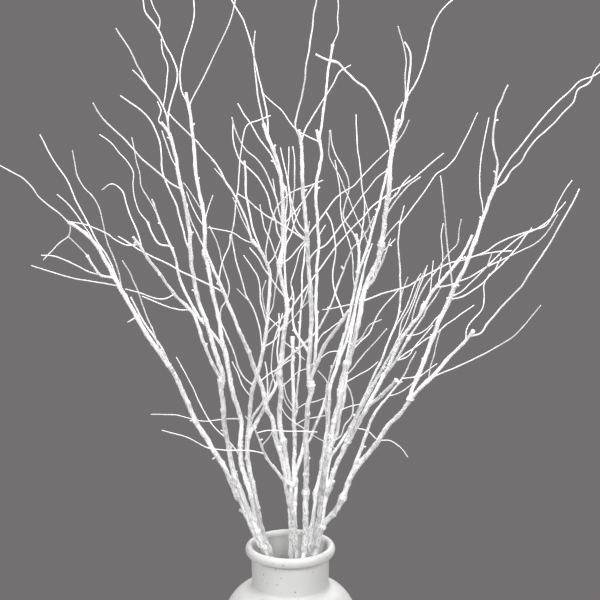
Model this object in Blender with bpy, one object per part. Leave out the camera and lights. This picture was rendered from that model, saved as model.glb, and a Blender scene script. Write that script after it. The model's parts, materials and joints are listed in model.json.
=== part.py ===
"""A bunch of white willow stems standing in a speckled white ceramic vase.

Metres, +Z up. The origin is the centre of the vase's foot, on the surface it stands on.
The vase is one turned shell, open at the top. Each stem is one closed solid with its limbs and
twigs fused into it, and its cut end stands on the vase's floor.
"""
import math
import random

import bmesh
import bpy
import numpy
from mathutils import Vector, kdtree

# Vase
VASE_HEIGHT = 0.210
BODY_RADIUS = 0.081
BODY_LEVEL = 0.092
BELLY_DEPTH = 0.045
BELLY_DROP = 0.104
NECK_RADIUS = 0.043
NECK_LEVEL = 0.160
WALL = 0.005
FLOOR = 0.007
LIP_RADIUS = 0.0457
LIP_HALF_WIDTH = 0.0044
LIP_HALF_HEIGHT = 0.0058
VASE_SIDES = 36
CURVE_STEPS = 5
LIP_STEPS = 7

# Stems
REST_GAP = 0.0003
EYE = (0.011, -1.757, 0.881)
STEP = 0.0135
HIDDEN_STEP = 0.0405
EDGE_BLUR = 0.0004
STRAIGHT_ENOUGH = 0.0005
STRAIGHT_CUT = 0.012
FOOT_SPREAD = 0.85
TWIG_LEAN = 0.55
SWAYS = ((0.180, 0.0060), (0.075, 0.0020))
SWAY_START = 0.080
THICK_LIMB = 0.0019
SLIM_LIMB = 0.0010
TWIG_FULLNESS = 1.2

# Bending clear
SAMPLE = 0.002
CLEARANCE = 0.0013
JUNCTION = 0.026
RAMP = 0.040
BEND_WIDTH = 0.055
ROUNDS = 140

# Each stem has the depth at which it leaves the vase's mouth, in millimetres behind the axis.
# Its limbs follow: radius at the root and at the tip in millimetres, lean away from the viewer
# (None is drawn by the stem's seed), and the route as pairs of X and Z in millimetres. A route
# is drawn on the upright plane through the vase's axis, as seen from EYE. The radii are read
# with the photo's soft edges, so each limb is slimmer by EDGE_BLUR. The first limb is the trunk,
# and every other one grows from the nearest limb before it.
STEMS = {
    "stem_outer_left": {"depth": 2, "seed": 3, "limbs": [
        (3.5, 2.3, 0.10, """-29,197 -37,216 -43,230 -49,245 -54,258 -63,275 -72,298 -82,314 -91,331
            -97,340 -106,357 -114,377 -122,397 -130,412 -138,425 -146,436 -155,450 -165,468
            -174,485 -182,500 -190,516 -200,535 -207,548 -213,556 -222,564 -230,570 -237,574"""),
        (1.1, 0.9, -0.30, """-237,574 -250,587 -260,594 -268,602 -274,611 -280,619 -290,625 -300,631
            -312,638 -328,650 -338,662"""),
        (1.1, 1.0, 0.40, "-235,571 -236,563 -238,558 -250,549 -256,542 -265,533"),
        (1.8, 1.5, -0.35, "-196,510 -204,516 -209,522 -213,530 -218,538"),
        (1.0, 0.9, -0.45, "-218,538 -224,545 -230,551 -237,558"),
        (1.1, 1.0, -0.15, "-193,508 -212,518 -222,523 -240,532 -250,536 -258,538 -267,538"),
        (1.1, 0.9, 0.45, "-186,503 -204,508 -225,511 -238,514 -258,520 -278,527"),
        (1.2, 1.0, 0.50, """-182,502 -192,528 -198,540 -205,550 -210,560 -215,571 -221,583 -228,597
            -231,606 -236,617 -240,625 -248,636 -253,645 -264,668"""),
        (1.1, 0.9, -0.40, """-180,498 -185,522 -190,537 -195,550 -198,562 -200,575 -203,588 -208,599
            -215,607 -223,617 -226,625 -230,651"""),
        (1.0, 0.9, 0.20, "-206,548 -211,556 -215,562 -222,573 -232,588 -240,597 -248,604"),
        (1.2, 1.0, -0.50, "-140,430 -148,453 -153,465 -158,477 -160,487 -168,508 -173,520 -180,532"),
        (1.5, 1.3, 0.15, "-130,412 -138,433 -146,445 -155,459 -163,473 -172,492"),
        (1.3, 1.2, 0.10, "-80,312 -86,309"),
        (1.3, 1.1, 0.10, "-166,470 -176,464"),
        (2.2, 2.0, -0.10, "-48,248 -57,250"),
    ]},
    "stem_left_knotted": {"depth": -9, "seed": 5, "limbs": [
        (3.6, 1.9, -0.20, """-26,197 -34,215 -40,232 -45,245 -50,257 -54,270 -59,282 -63,295 -66,310
            -68,325 -71,340 -73,355 -73,370 -75,385 -76,393 -74,401 -75,413 -80,425 -84,440
            -88,455 -92,468 -97,480 -100,492 -102,505 -105,520 -106,532 -107,545 -107,560
            -109,575 -111,590 -114,605 -117,618 -119,630 -121,645 -124,658 -127,668 -131,675
            -136,681"""),
        (2.2, 1.7, -0.38, """-75,399 -82,413 -88,425 -92,436 -97,450 -101,464 -105,474 -110,480
            -117,487 -123,493 -128,499 -133,507 -140,517 -147,527 -153,535 -160,547 -168,558"""),
        (1.1, 0.9, 0.30, "-108,478 -120,478 -130,481 -140,484 -150,489 -160,493"),
        (1.1, 0.9, -0.50, "-126,494 -134,490 -142,490 -150,492 -160,496 -170,499 -178,501"),
        (1.1, 0.9, -0.25, """-162,550 -170,550 -177,549 -183,551 -190,558 -197,562 -205,566 -215,570
            -225,573 -234,574"""),
        (1.1, 0.9, 0.35, """-159,545 -161,556 -165,568 -170,580 -174,592 -176,603 -181,611 -188,615
            -195,614 -200,609"""),
        (1.2, 1.0, -0.45, """-115,609 -125,615 -132,620 -140,628 -150,636 -160,645 -166,653 -172,660
            -180,668 -190,677 -201,690 -207,701"""),
        (1.3, 1.0, 0.30, """-107,541 -112,555 -115,570 -118,580 -121,593 -125,602 -130,612 -133,622
            -136,632 -136,650 -138,662 -141,670 -146,680 -150,688 -160,696 -170,703 -178,709"""),
        (1.1, 1.0, -0.30, "-119,631 -125,642 -129,652 -132,663 -135,672"),
        (1.0, 0.9, 0.50, "-131,675 -137,677 -138,685 -136,692 -135,698 -139,703"),
        (1.2, 1.0, -0.35, """-127,668 -129,683 -131,692 -135,700 -140,709 -148,718 -151,722 -156,734
            -162,745 -167,757 -173,766 -181,779"""),
        (1.0, 0.9, 0.30, "-148,718 -155,726 -165,736"),
        (1.2, 1.0, 0.25, """-129,681 -126,700 -122,711 -119,720 -118,730 -119,740 -124,751 -130,762
            -134,772 -138,780 -144,787 -149,792 -151,800 -153,812 -158,824 -159,836"""),
        (1.0, 0.9, -0.20, "-136,777 -133,783 -135,788 -139,795 -142,803 -146,815 -148,824"),
        (0.9, 0.9, 0.55, "-133,697 -130,713 -129,725 -128,738 -129,747 -133,755 -134,768"),
    ]},
    "stem_left_inner": {"depth": 13, "seed": 7, "limbs": [
        (3.4, 2.2, 0.30, """-23,196 -31,215 -37,232 -40,250 -43,266 -48,282 -53,297 -55,311 -55,325
            -54,340 -54,355 -58,370 -61,380 -64,392 -66,403 -68,415 -70,430 -74,445 -76,460 -79,475
            -82,490 -85,505 -87,520 -91,540 -91,560 -91,575 -93,585 -95,600 -98,615 -100,630
            -101,650 -103,670 -105,690 -107,700 -109,712"""),
        (2.3, 1.4, 0.05, """-69,423 -75,440 -85,453 -95,465 -101,473 -108,487 -113,498 -118,510
            -121,525 -124,540 -128,548 -133,560 -137,570 -141,580 -144,590 -147,599"""),
        (1.4, 1.3, 0.40, "-128,548 -138,549 -144,555 -148,563 -152,574"),
        (1.0, 0.9, 0.40, """-152,574 -157,580 -162,588 -165,598 -167,610 -166,628 -168,635 -175,641
            -182,650 -190,660 -201,668"""),
        (1.0, 0.9, -0.40, """-140,578 -148,595 -153,603 -158,612 -159,625 -163,640 -165,655
            -167,665"""),
        (1.1, 0.9, 0.50, """-49,310 -58,316 -65,327 -72,334 -80,342 -88,352 -94,363 -100,375
            -104,386 -110,398 -117,412 -124,425"""),
        (1.1, 0.9, 0.60, "-54,355 -72,355 -85,353 -100,353 -118,358 -130,360 -153,360"),
        (1.1, 0.9, -0.30, "-93,585 -101,598 -107,608 -113,617"),
        (1.1, 0.9, 0.50, "-91,568 -98,578 -102,588 -107,597 -110,607"),
        (0.9, 0.9, 0.60, "-91,573 -88,585 -86,595 -82,603"),
        (1.2, 1.0, 0.35, """-107,701 -111,707 -114,715 -115,725 -115,735 -113,745 -110,757 -106,768
            -102,780 -100,790 -99,800 -100,812 -103,826 -103,838"""),
        (1.2, 1.0, -0.20, """-105,697 -101,708 -95,719 -88,732 -81,747 -74,761 -68,773 -63,783
            -60,792 -58,800 -55,813 -50,826 -48,840"""),
    ]},
    "stem_left_forked": {"depth": -2, "seed": 11, "limbs": [
        (3.2, 1.9, 0.02, """-22,198 -28,215 -33,232 -36,250 -39,268 -42,283 -46,300 -47,315 -47,330
            -45,348 -44,365 -42,385 -37,402 -33,415 -30,430 -27,445 -25,460 -24,472 -23,485
            -22,500 -21,515 -24,527 -28,536 -32,544 -37,549 -41,554"""),
        (2.7, 1.9, 0.10, "-45,333 -40,346 -33,359 -27,370 -22,381 -16,391 -12,403"),
        (1.2, 1.0, -0.25, """-41,393 -50,402 -57,415 -60,427 -66,443 -73,460 -76,470 -75,478 -70,486
            -67,492 -65,500 -67,510 -70,520 -73,530 -76,545 -79,553 -82,562 -86,570"""),
        (1.0, 0.9, 0.30, "-43,380 -52,393 -57,407 -63,420"),
        (1.2, 1.0, 0.25, """-30,430 -33,458 -37,472 -41,482 -46,490 -49,500 -52,512 -55,522 -58,532
            -60,545 -63,555 -61,565 -59,580 -58,590 -57,600 -55,610 -54,625 -53,640 -51,655
            -49,668 -47,675 -42,680 -30,684 -20,688"""),
        (1.0, 0.9, -0.30, "-44,487 -51,493 -57,501"),
        (1.2, 1.0, 0.40, """-25,461 -30,480 -32,485 -31,492 -32,500 -34,510 -36,518 -40,524 -46,531
            -50,538"""),
        (1.1, 1.0, -0.50, "-24,468 -29,486 -30,494 -29,502 -26,510"),
        (1.1, 1.0, -0.35, """-24,469 -20,477 -18,485 -16,500 -14,515 -13,527 -16,540 -20,550 -23,560
            -27,567 -29,575 -30,583 -32,593"""),
        (1.0, 0.9, None, "-26,450 -20,458 -14,463 -8,470 -3,475"),
        (1.0, 0.9, None, "-24,470 -15,462 -10,456 -6,452"),
        (1.5, 1.1, 0.10, """-41,554 -43,563 -46,575 -50,585 -55,595 -58,602 -62,608 -66,614 -70,621
            -74,630 -80,639 -90,650 -98,660 -103,665 -110,672 -118,680 -125,686 -129,692"""),
        (1.0, 0.9, -0.35, "-40,553 -44,563 -49,573 -54,585 -57,593 -61,601"),
        (1.0, 0.9, -0.30, "-69,619 -75,626 -80,632"),
        (1.2, 1.6, 0.45, """-30,540 -33,549 -38,560 -40,570 -43,583 -45,595 -47,605 -47,620 -47,632
            -48,640"""),
        (1.0, 0.9, 0.20, "-38,550 -45,551 -52,557 -57,561 -62,563 -72,565 -80,567 -88,568"),
        (1.2, 1.1, -0.45, """-25,529 -26,545 -24,555 -22,565 -20,575 -17,583 -14,590 -9,597 -4,602
            2,606 10,610 20,613 28,616 35,619"""),
        (1.1, 1.0, 0.35, "-17,393 -20,408 -20,425 -18,440 -15,452 -11,463 -8,474"),
        (2.0, 1.6, -0.45, "-45,345 -42,356 -36,364 -30,374 -24,385"),
        (1.2, 1.0, 0.20, "-27,436 -19,441 -13,452 -7,462 -2,470"),
        (1.1, 1.0, 0.30, "-24,527 -19,533 -15,541 -11,551 -9,558"),
    ]},
    "stem_centre_left": {"depth": -17, "seed": 13, "limbs": [
        (3.6, 1.7, -0.32, """8,196 5,220 3,240 0,255 -3,268 -4,283 -6,295 -8,305 -12,320 -17,335
            -18,350 -22,360 -26,368 -29,385 -33,397 -38,410 -43,425 -47,437 -52,447 -56,457
            -60,468 -64,478 -68,488 -71,497 -75,505 -79,515 -84,527 -87,535 -91,545"""),
        (1.2, 1.0, -0.30, "-90,541 -95,552 -99,560 -103,570 -108,582 -110,592"),
        (1.3, 1.1, -0.10, "-26,370 -25,385 -25,405 -27,420"),
        (2.3, 1.0, -0.45, "1,279 -5,283 -11,290 -18,299 -24,308 -29,316 -34,331 -38,341 -43,350 -49,358"),
        (1.1, 0.9, -0.30, """-28,315 -40,318 -50,319 -65,319 -80,320 -90,322 -98,325 -104,329
            -118,336 -130,339 -141,342"""),
        (1.0, 0.9, -0.40, "-31,324 -25,332 -20,339 -16,348"),
        (1.0, 0.9, -0.30, "-37,339 -30,341 -20,342 0,341 15,341 30,340"),
        (1.2, 1.0, 0.30, """-71,497 -84,504 -100,512 -110,517 -118,521 -130,528 -140,533 -150,538
            -158,541 -167,548 -175,553 -184,559"""),
        (1.0, 0.9, 0.40, "-34,397 -27,403 -20,408 -12,413 -3,420 6,425"),
        (1.1, 0.9, 0.25, "-77,510 -75,520 -73,530 -69,540 -65,549 -64,561"),
        (1.2, 1.0, -0.55, "-27,372 -21,394 -14,413"),
        (2.5, 2.3, -0.60, "-4,283 0,280 5,278"),
    ]},
    "stem_centre_tall": {"depth": 2, "seed": 17, "limbs": [
        (3.3, 2.2, -0.12, """1,198 1,225 0,250 0,270 -1,288 -4,303 -5,315 -8,330 -11,345 -12,360
            -11,375 -10,390 -12,405 -9,425 -8,440 -6,455 -4,470 -3,485 -6,500 -10,515 -11,530
            -8,542 -7,555 -8,570 -7,580 -7,590 -8,605 -9,618 -11,630 -14,641 -17,650 -20,658
            -23,665 -26,673 -28,680"""),
        (1.6, 1.0, 0.22, """-3,478 -4,495 -5,510 -6,530 -5,545 -5,560 -5,575 -4,590 -3,600 -5,611
            -9,619 -13,630 -17,640 -22,650 -30,660 -36,670 -42,681 -50,692 -55,701"""),
        (1.2, 1.0, -0.40, """-8,572 -11,582 -13,593 -15,602 -19,612 -23,622 -27,631 -31,637 -35,642
            -42,647 -49,655 -54,664 -58,674 -61,686"""),
        (1.0, 0.9, 0.20, "-15,602 -17,612 -18,621"),
        (1.2, 1.0, 0.45, """-9,552 -13,560 -13,568 -15,575 -19,582 -20,588 -22,598 -25,606 -29,614
            -33,621 -39,628 -46,634 -53,641 -57,650 -60,665 -60,680"""),
        (1.2, 1.0, -0.20, """-27,676 -30,690 -32,700 -34,712 -36,730 -37,745 -38,755 -37,765
            -36,776"""),
        (1.2, 1.0, 0.30, """-23,666 -23,680 -25,695 -27,705 -29,712 -31,722 -34,735 -37,748 -40,762
            -44,775 -48,787 -51,795 -56,800 -62,812 -66,824"""),
        (1.0, 0.9, -0.50, "-11,390 -1,399 4,405 12,410 20,413"),
        (1.0, 0.9, 0.50, "-11,372 -5,360 0,355 7,349 14,345 20,340 27,335 35,331 43,325 50,320"),
        (1.2, 1.1, 0.60, "-11,410 -14,430 -12,450 -12,474"),
        (1.2, 1.0, 0.10, """-4,470 4,483 12,495 20,506 27,516 32,523 38,531 45,542 50,548 55,554
            60,560 66,567 72,573 79,580 84,587 90,593 97,598 103,603 112,610 118,612 124,616
            130,620 138,627 148,635 155,642 163,648"""),
        (1.0, 0.9, -0.50, "-5,460 0,465 8,473 14,482 22,489 28,495"),
        (1.6, 1.0, -0.45, """-9,417 6,431 16,441 28,453 34,463 40,475 45,485 49,498 54,512 60,526
            62,535 64,541 71,550 76,555 80,560 83,566 86,572 90,580"""),
        (1.0, 0.9, 0.45, "-3,484 2,492 2,500 1,510 5,520 8,532 10,541 14,547 18,553"),
        (1.2, 1.0, -0.10, """-9,527 0,535 5,541 10,547 15,553 19,558 24,566 29,572 33,578 38,585
            42,591 47,598 52,603 58,607 64,610 70,615 74,620 80,627 87,634 94,641 104,651"""),
        (1.1, 0.9, 0.50, "-6,548 0,558 3,566 5,574 8,583 11,589"),
        (1.0, 0.9, 0.35, "-7,570 -1,578 5,585 10,591 14,597 20,606 26,615"),
        (1.0, 0.9, 0.50, "-6,560 -1,575 1,590 -1,605 -2,620 -1,640 -1,655"),
        (1.3, 1.1, -0.45, "-6,490 -12,500 -18,509 -24,518 -30,527 -36,538 -43,546"),
        (1.1, 0.9, 0.40, "-8,443 -3,440 3,435 9,429 16,422"),
        (1.2, 1.0, -0.35, "12,478 15,487 18,497 21,508"),
    ]},
    "stem_centre_back": {"depth": 21, "seed": 19, "limbs": [
        (3.0, 2.2, 0.30, """8,196 6,215 5,235 5,255 6,275 5,290 4,305 5,320 5,335 4,350 4,370
            3,400 3,420 3,448"""),
        (1.7, 1.2, 0.48, """4,352 7,365 7,380 8,395 10,410 11,420 10,445 11,465 12,480 13,500
            13,515 15,530 16,545 17,556"""),
        (2.7, 2.2, 0.45, "5,290 9,303 13,316 16,330 17,345 18,360 19,374"),
        (2.0, 2.3, 0.60, "15,321 20,328 24,338 28,348 32,358 36,368 39,378"),
        (1.0, 0.9, -0.35, "3,362 -3,370 -7,380 -9,392 -8,402"),
        (1.0, 0.9, -0.20, "3,367 -2,376 -5,386 -7,396"),
        (1.0, 0.9, 0.30, "5,347 12,353 18,354 25,356 32,358 40,359"),
        (1.0, 0.9, -0.20, "6,366 12,371 20,373 28,375 38,379"),
    ]},
    "stem_centre_right": {"depth": -27, "seed": 23, "limbs": [
        (3.5, 1.9, -0.34, """15,196 17,225 17,265 18,295 18,315 17,330 18,345 19,360 20,375 23,388
            22,398 20,410 21,425 22,440 23,460 23,480 22,500 21,515 20,530 19,545 18,560
            17,575 16,585 15,595 14,605 13,625 13,640 12,655 11,665 10,673"""),
        (2.0, 1.8, 0.05, """22,394 26,415 28,435 29,460 28,480 28,500 29,515 29,530 31,545 31,555
            30,565 30,575 29,585 28,595 28,615 30,626 33,640 34,650 33,657 30,665 28,673"""),
        (2.3, 2.0, -0.50, "22,398 28,415 33,427 37,437 43,447 49,454 54,462 59,470 64,477"),
        (1.1, 1.0, 0.30, """58,469 54,483 50,493 48,500 46,510 46,520 48,532 49,545 48,555 47,562
            44,575 38,586"""),
        (1.0, 0.9, None, "28,438 36,452 42,456 48,460 54,465"),
        (1.0, 0.9, None, "31,422 40,430 46,431 52,432 58,432"),
        (1.2, 1.0, -0.30, """20,533 25,541 29,543 33,543 38,549 43,554 47,560 52,567 57,573 60,576
            64,583 68,589 72,596 77,602 80,607 84,611 88,615 93,622 98,627 103,630"""),
        (1.2, 1.0, -0.35, """18,552 10,559 3,564 -4,568 -10,572 -18,578 -25,581 -31,584 -36,590
            -42,596 -50,601 -56,605"""),
        (1.1, 0.9, 0.30, """17,561 12,568 8,576 5,585 3,592 1,600 -1,612 -3,622 -5,632 -7,640
            -10,654"""),
        (1.1, 1.0, -0.15, """18,555 9,562 6,568 3,576 2,585 3,594 4,603 5,612 5,625 5,640 4,648
            3,655"""),
        (1.0, 0.9, -0.30, "19,558 21,567 21,575"),
        (1.0, 0.9, 0.30, "31,559 35,566 38,571"),
        (1.1, 0.9, 0.30, """12,658 15,670 20,680 26,690 32,700 36,706 40,712 45,720 50,730 55,737
            64,741"""),
        (1.2, 1.0, -0.20, """11,664 6,673 7,685 9,694 12,705 14,715 16,727 17,740 19,750 21,760
            22,770 24,780 24,790 26,798 28,810 26,822 29,834"""),
        (1.1, 0.9, -0.25, """32,660 22,664 15,669 8,672 4,676 0,681 -5,689 -10,695 -20,703
            -28,711"""),
        (1.6, 1.5, 0.20, "31,663 33,675 35,685 35,695 37,703 38,712 39,722 40,735 42,745 45,762"),
        (0.9, 0.9, 0.20, "45,762 50,773 50,785 50,795 51,808 49,820 50,830"),
        (2.0, 1.0, 0.35, "22,430 14,441 8,449 5,457 3,468 3,480 4,492 2,504"),
        (1.3, 1.2, -0.30, "18,310 22,310"),
    ]},
    "stem_right_centre": {"depth": 17, "seed": 29, "limbs": [
        (3.2, 1.9, 0.30, """22,200 24,228 27,250 29,270 33,290 36,310 39,330 41,345 42,360 43,375
            43,390 47,403 51,414 54,428 58,445 62,460 65,475 68,490 71,505 73,520 74,535 74,545
            72,553 70,561"""),
        (2.0, 1.7, 0.20, """73,518 77,530 81,540 84,550 87,560 89,570 92,580 95,590 97,600 99,610
            102,622 104,632"""),
        (1.1, 0.9, 0.40, "67,484 62,483 55,481 45,480 35,478"),
        (1.1, 0.9, -0.30, "43,390 40,398 35,405 30,410"),
        (1.1, 0.9, 0.45, """70,500 68,508 69,520 67,530 67,537 65,547 62,556 60,563 57,572 55,580
            54,590 54,600 53,610 52,618 50,628 48,641"""),
        (1.2, 1.0, -0.20, """71,557 66,560 64,568 58,578 57,583 58,590 60,598 62,605 63,612 62,620
            60,627 56,634 52,640 47,650 44,662 43,673"""),
        (1.1, 0.9, -0.45, """84,549 82,556 79,563 76,569 72,577 68,587 65,595 61,603 58,611 55,619
            51,627 47,634 43,641 41,650 42,662 42,672"""),
        (1.2, 1.0, 0.40, """74,545 77,560 78,570 79,580 80,590 79,600 77,610 76,620 75,630 74,640
            72,650 71,665 70,680 70,689"""),
        (0.9, 0.9, -0.30, "88,563 86,572 84,580 83,587 81,594 79,601"),
        (1.7, 1.0, -0.30, "41,350 39,365 39,380 41,395 45,410 50,424 54,438 58,452"),
        (2.2, 1.0, 0.35, "53,420 58,434 63,450 67,465 70,480 73,495 76,508 79,522 82,536"),
    ]},
    "stem_right_tall": {"depth": -7, "seed": 31, "limbs": [
        (3.4, 2.6, -0.14, """26,200 30,228 33,250 35,270 37,290 40,305 44,325 47,345 50,360 54,375
            56,390 58,405 62,418 66,430 70,445 73,460 76,475 78,490 81,502 85,513 91,524 96,537
            98,550 100,562 101,575 103,590 105,603 106,615 106,630 107,642 109,655 111,668
            113,678 115,684"""),
        (2.6, 1.2, 0.32, """45,322 49,331 52,342 53,354 56,366 59,378 60,390 61,402 61,414 62,425
            64,437 66,449 68,461 70,473 72,485 75,498 78,511 80,524 84,538 88,551"""),
        (1.2, 1.0, 0.35, "67,431 76,442 86,452 90,462 97,475 102,483 110,492 117,500"),
        (1.1, 0.9, -0.50, "69,438 80,450 85,460 92,464 99,467"),
        (1.2, 1.0, -0.40, "58,402 68,412 75,422 85,434 95,445 105,457"),
        (1.2, 1.0, -0.15, """78,487 90,492 100,496 110,499 118,501 125,503 133,507 140,512 148,517
            158,522 170,529 182,531 190,534 198,537 205,539 212,540 220,541 230,543 238,543"""),
        (1.0, 0.9, 0.50, "57,394 70,402 80,408 90,414 96,420"),
        (1.2, 1.1, -0.50, "45,328 54,333 60,348 67,357 69,372 66,385 61,397"),
        (1.0, 0.9, 0.45, "50,362 62,368 70,370 78,372"),
        (1.1, 1.0, -0.30, "99,550 103,556 106,563 110,568 117,575"),
        (1.0, 0.9, 0.30, "97,540 105,547 113,556"),
        (1.2, 1.0, -0.45, "102,580 108,590 112,597 117,603 122,609 128,615 134,620 139,623"),
        (1.0, 0.9, 0.10, "104,590 109,598 113,606"),
        (1.1, 0.9, 0.45, "105,596 110,600 114,605 118,612 122,618 128,624"),
        (1.2, 1.4, -0.20, """107,645 105,660 103,670 99,682 95,692 90,702 84,711 80,716 75,722
            70,724 62,730 58,736 54,741 47,744 42,744 38,747 32,750 27,752"""),
        (1.7, 1.6, 0.20, "112,668 117,678 119,690 121,700 123,707"),
        (1.2, 1.1, -0.35, "112,671 111,685 115,695 119,702"),
        (1.1, 0.9, -0.30, "122,703 121,722 121,735 122,745 120,756 117,768 113,781"),
        (1.4, 1.2, 0.35, "123,706 124,715 125,727 126,738 127,748 125,757 120,765"),
        (1.2, 1.0, 0.10, """123,707 127,713 131,720 136,730 140,741 143,752 145,763 148,775 151,785
            155,793 161,801 167,806 176,813 185,822"""),
        (1.1, 0.9, -0.40, "109,655 115,660 119,668 123,676 126,683"),
        (2.2, 0.9, -0.40, "82,500 89,510 94,520 99,531 103,542 108,556"),
    ]},
    "stem_right": {"depth": 5, "seed": 37, "limbs": [
        (3.4, 1.9, 0.14, """29,202 34,228 36,245 38,260 42,275 46,287 50,300 57,315 62,326 68,337
            74,348 80,360 86,372 93,385 100,400 106,412 112,425 118,440 124,450 131,460 138,468
            144,480 150,492 157,502 165,512 172,520 180,530 186,540 191,550 195,560"""),
        (2.2, 1.1, 0.42, """41,273 41,288 45,312 52,322 60,335 67,346 72,357 77,370 82,382 88,396
            93,408 100,423 106,440 112,455 117,470 119,490 119,510 118,530 116,545 116,555
            117,565 118,573 119,580 122,592"""),
        (1.1, 1.0, 0.30, """118,572 126,583 130,588 134,594 139,601 144,608 149,616 156,626 165,632
            173,640 179,650 185,662 190,672 195,684 198,691"""),
        (1.1, 0.9, -0.30, "119,485 122,500 127,514"),
        (1.1, 0.9, 0.45, "113,456 123,475 130,492 134,505 141,518"),
        (1.1, 0.9, 0.10, "118,440 120,462 128,478 135,495 141,512 148,527"),
        (1.2, 1.0, -0.40, """131,460 135,480 143,500 150,511 157,520 164,531 171,541 176,546
            180,552 181,565 183,577"""),
        (2.4, 2.5, -0.50, "86,370 93,375 101,383 109,391 117,399"),
        (1.0, 0.9, 0.50, "124,449 140,451 147,455 152,461 158,468 168,478"),
        (2.1, 0.9, -0.25, "104,403 113,418 121,432 128,445 135,456 142,467 148,479 156,491 163,503"),
        (2.3, 2.4, -0.45, "39,266 42,272 45,278 48,284"),
        (1.0, 0.9, 0.35, "118,448 125,462 131,478 137,495 143,512 147,524"),
        (0.9, 0.9, 0.50, "151,492 152,505 153,520 154,532"),
        (0.9, 0.9, 0.60, "160,505 161,515 164,533 164,541 162,557 162,565 164,573"),
        (1.1, 0.9, -0.20, """72,345 80,344 87,340 92,334 97,331 102,332 110,330 117,327 122,322
            126,316 130,311"""),
        (1.2, 1.0, 0.30, """183,534 195,536 205,539 212,543 220,549 230,554 238,559 246,561 254,563
            262,566 270,568 276,573 281,582 285,593 292,607 300,619"""),
        (1.2, 1.0, 0.45, """107,413 120,425 130,432 140,439 150,447 158,451 170,462 180,469 190,477
            199,483"""),
        (1.2, 1.0, 0.40, "119,416 126,424 133,433 140,443 147,451 155,461"),
        (1.3, 1.2, -0.20, "158,503 168,504 173,505 178,507"),
        (3.6, 1.2, -0.22, """62,329 66,341 71,353 76,365 83,378 90,392 97,405 103,417 109,428 114,439
            119,450"""),
    ]},
    "stem_outer_right": {"depth": -19, "seed": 41, "limbs": [
        (3.8, 1.9, -0.26, """27,197 31,215 35,230 42,239 49,247 54,255 58,264 61,271 64,281 69,292 75,302
            82,310 90,320 96,328 102,338 108,348 115,355 122,362 127,370 132,378 140,387
            148,396 155,403 163,412 172,424 180,432 188,440 194,448 199,455"""),
        (2.5, 1.1, -0.05, """68,292 73,307 77,318 82,333 85,342 88,352 92,360 97,368 105,378
            112,387 120,398 126,408 131,420 137,431"""),
        (1.0, 0.9, -0.50, "107,381 120,385 130,392 137,399"),
        (1.1, 0.9, -0.35, """154,402 165,407 175,411 190,418 200,423 210,428 222,435 232,441
            242,448 250,456 258,466 265,475 271,483"""),
        (2.6, 2.3, -0.02, """131,377 133,388 137,398 141,408 145,418 149,430 153,442 157,452
            161,465 167,478 172,488 176,500 181,511 187,522 191,532 195,545 199,556 203,569
            207,580 211,592 214,602 218,611"""),
        (1.0, 0.9, -0.40, "150,400 152,410 155,420 157,430 159,440 163,455"),
        (1.1, 0.9, -0.35, """180,509 190,512 200,518 210,524 220,530 228,533 240,539 250,544
            258,547 266,553 273,560 279,569 286,582"""),
        (1.0, 0.9, 0.40, "174,492 182,496 190,503 197,510 204,517 210,524"),
        (1.2, 1.0, 0.20, """173,489 185,492 195,498 205,505 214,514 220,522 227,527 234,535 240,542
            245,548 250,556 254,562 259,568"""),
        (1.1, 0.9, 0.50, "210,524 222,536 230,544 240,553 250,560 270,570 278,578 285,585 294,596"),
        (1.0, 0.9, -0.40, "212,525 215,536 217,541"),
        (1.0, 0.9, 0.30, "219,522 223,532 227,536"),
        (1.2, 1.0, -0.45, """176,498 174,512 173,520 171,535 169,545 168,555 167,565 166,575
            165,588 163,600 162,612 160,624"""),
        (1.0, 0.9, None, "139,403 130,405 122,401"),
        (1.0, 0.9, None, "138,400 150,410 160,418"),
        (1.0, 0.9, 0.50, """191,444 190,452 193,460 198,467 204,474 209,481 211,488 209,494 208,502
            211,510 215,518"""),
        (1.4, 1.1, -0.20, """194,449 200,448 204,449 209,455 215,464 222,473 228,480 235,489
            243,496 249,503 254,512 260,521 266,531 272,540 278,550 284,561 290,573 295,582
            299,590 304,600 308,610"""),
        (1.5, 1.2, -0.30, """217,610 219,622 220,632 220,642 217,650 215,660 215,670 216,680
            217,690 220,700 225,710 229,720"""),
        (1.2, 1.0, 0.30, """216,607 222,622 226,630 232,640 240,650 250,663 257,673 265,683 272,692
            280,700 290,710 300,719 306,725 318,729 326,734 338,746"""),
        (1.2, 1.0, -0.10, """217,610 226,617 230,619 232,624 237,632 243,637 248,642 251,650
            257,659 265,667 278,679 288,691 294,697 299,703 301,712 304,716 313,721 316,727
            321,737 328,746"""),
        (1.0, 0.9, 0.55, "207,580 206,588 204,600 202,610 202,632 203,645 205,657 207,670 210,686"),
    ]},
}


def clear_scene():
    for item in list(bpy.data.objects):
        bpy.data.objects.remove(item, do_unlink=True)


def make_material(name, colour, roughness):
    material = bpy.data.materials.new(name)
    material.use_nodes = True
    shader = material.node_tree.nodes["Principled BSDF"]
    shader.inputs["Base Color"].default_value = (*colour, 1.0)
    shader.inputs["Roughness"].default_value = roughness
    shader.inputs["Metallic"].default_value = 0.0
    return material


def place_object(name, bm, material):
    mesh = bpy.data.meshes.new(name)
    bm.to_mesh(mesh)
    bm.free()
    mesh.materials.append(material)
    piece = bpy.data.objects.new(name, mesh)
    bpy.context.scene.collection.objects.link(piece)
    return piece


def arc(centre, radii, start, end, steps):
    """Points of an elliptic arc in the plane of radius and height, angles in degrees."""
    points = []
    for step in range(steps + 1):
        angle = math.radians(start + (end - start) * step / steps)
        points.append((centre[0] + radii[0] * math.cos(angle), centre[1] + radii[1] * math.sin(angle)))
    return points


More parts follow.
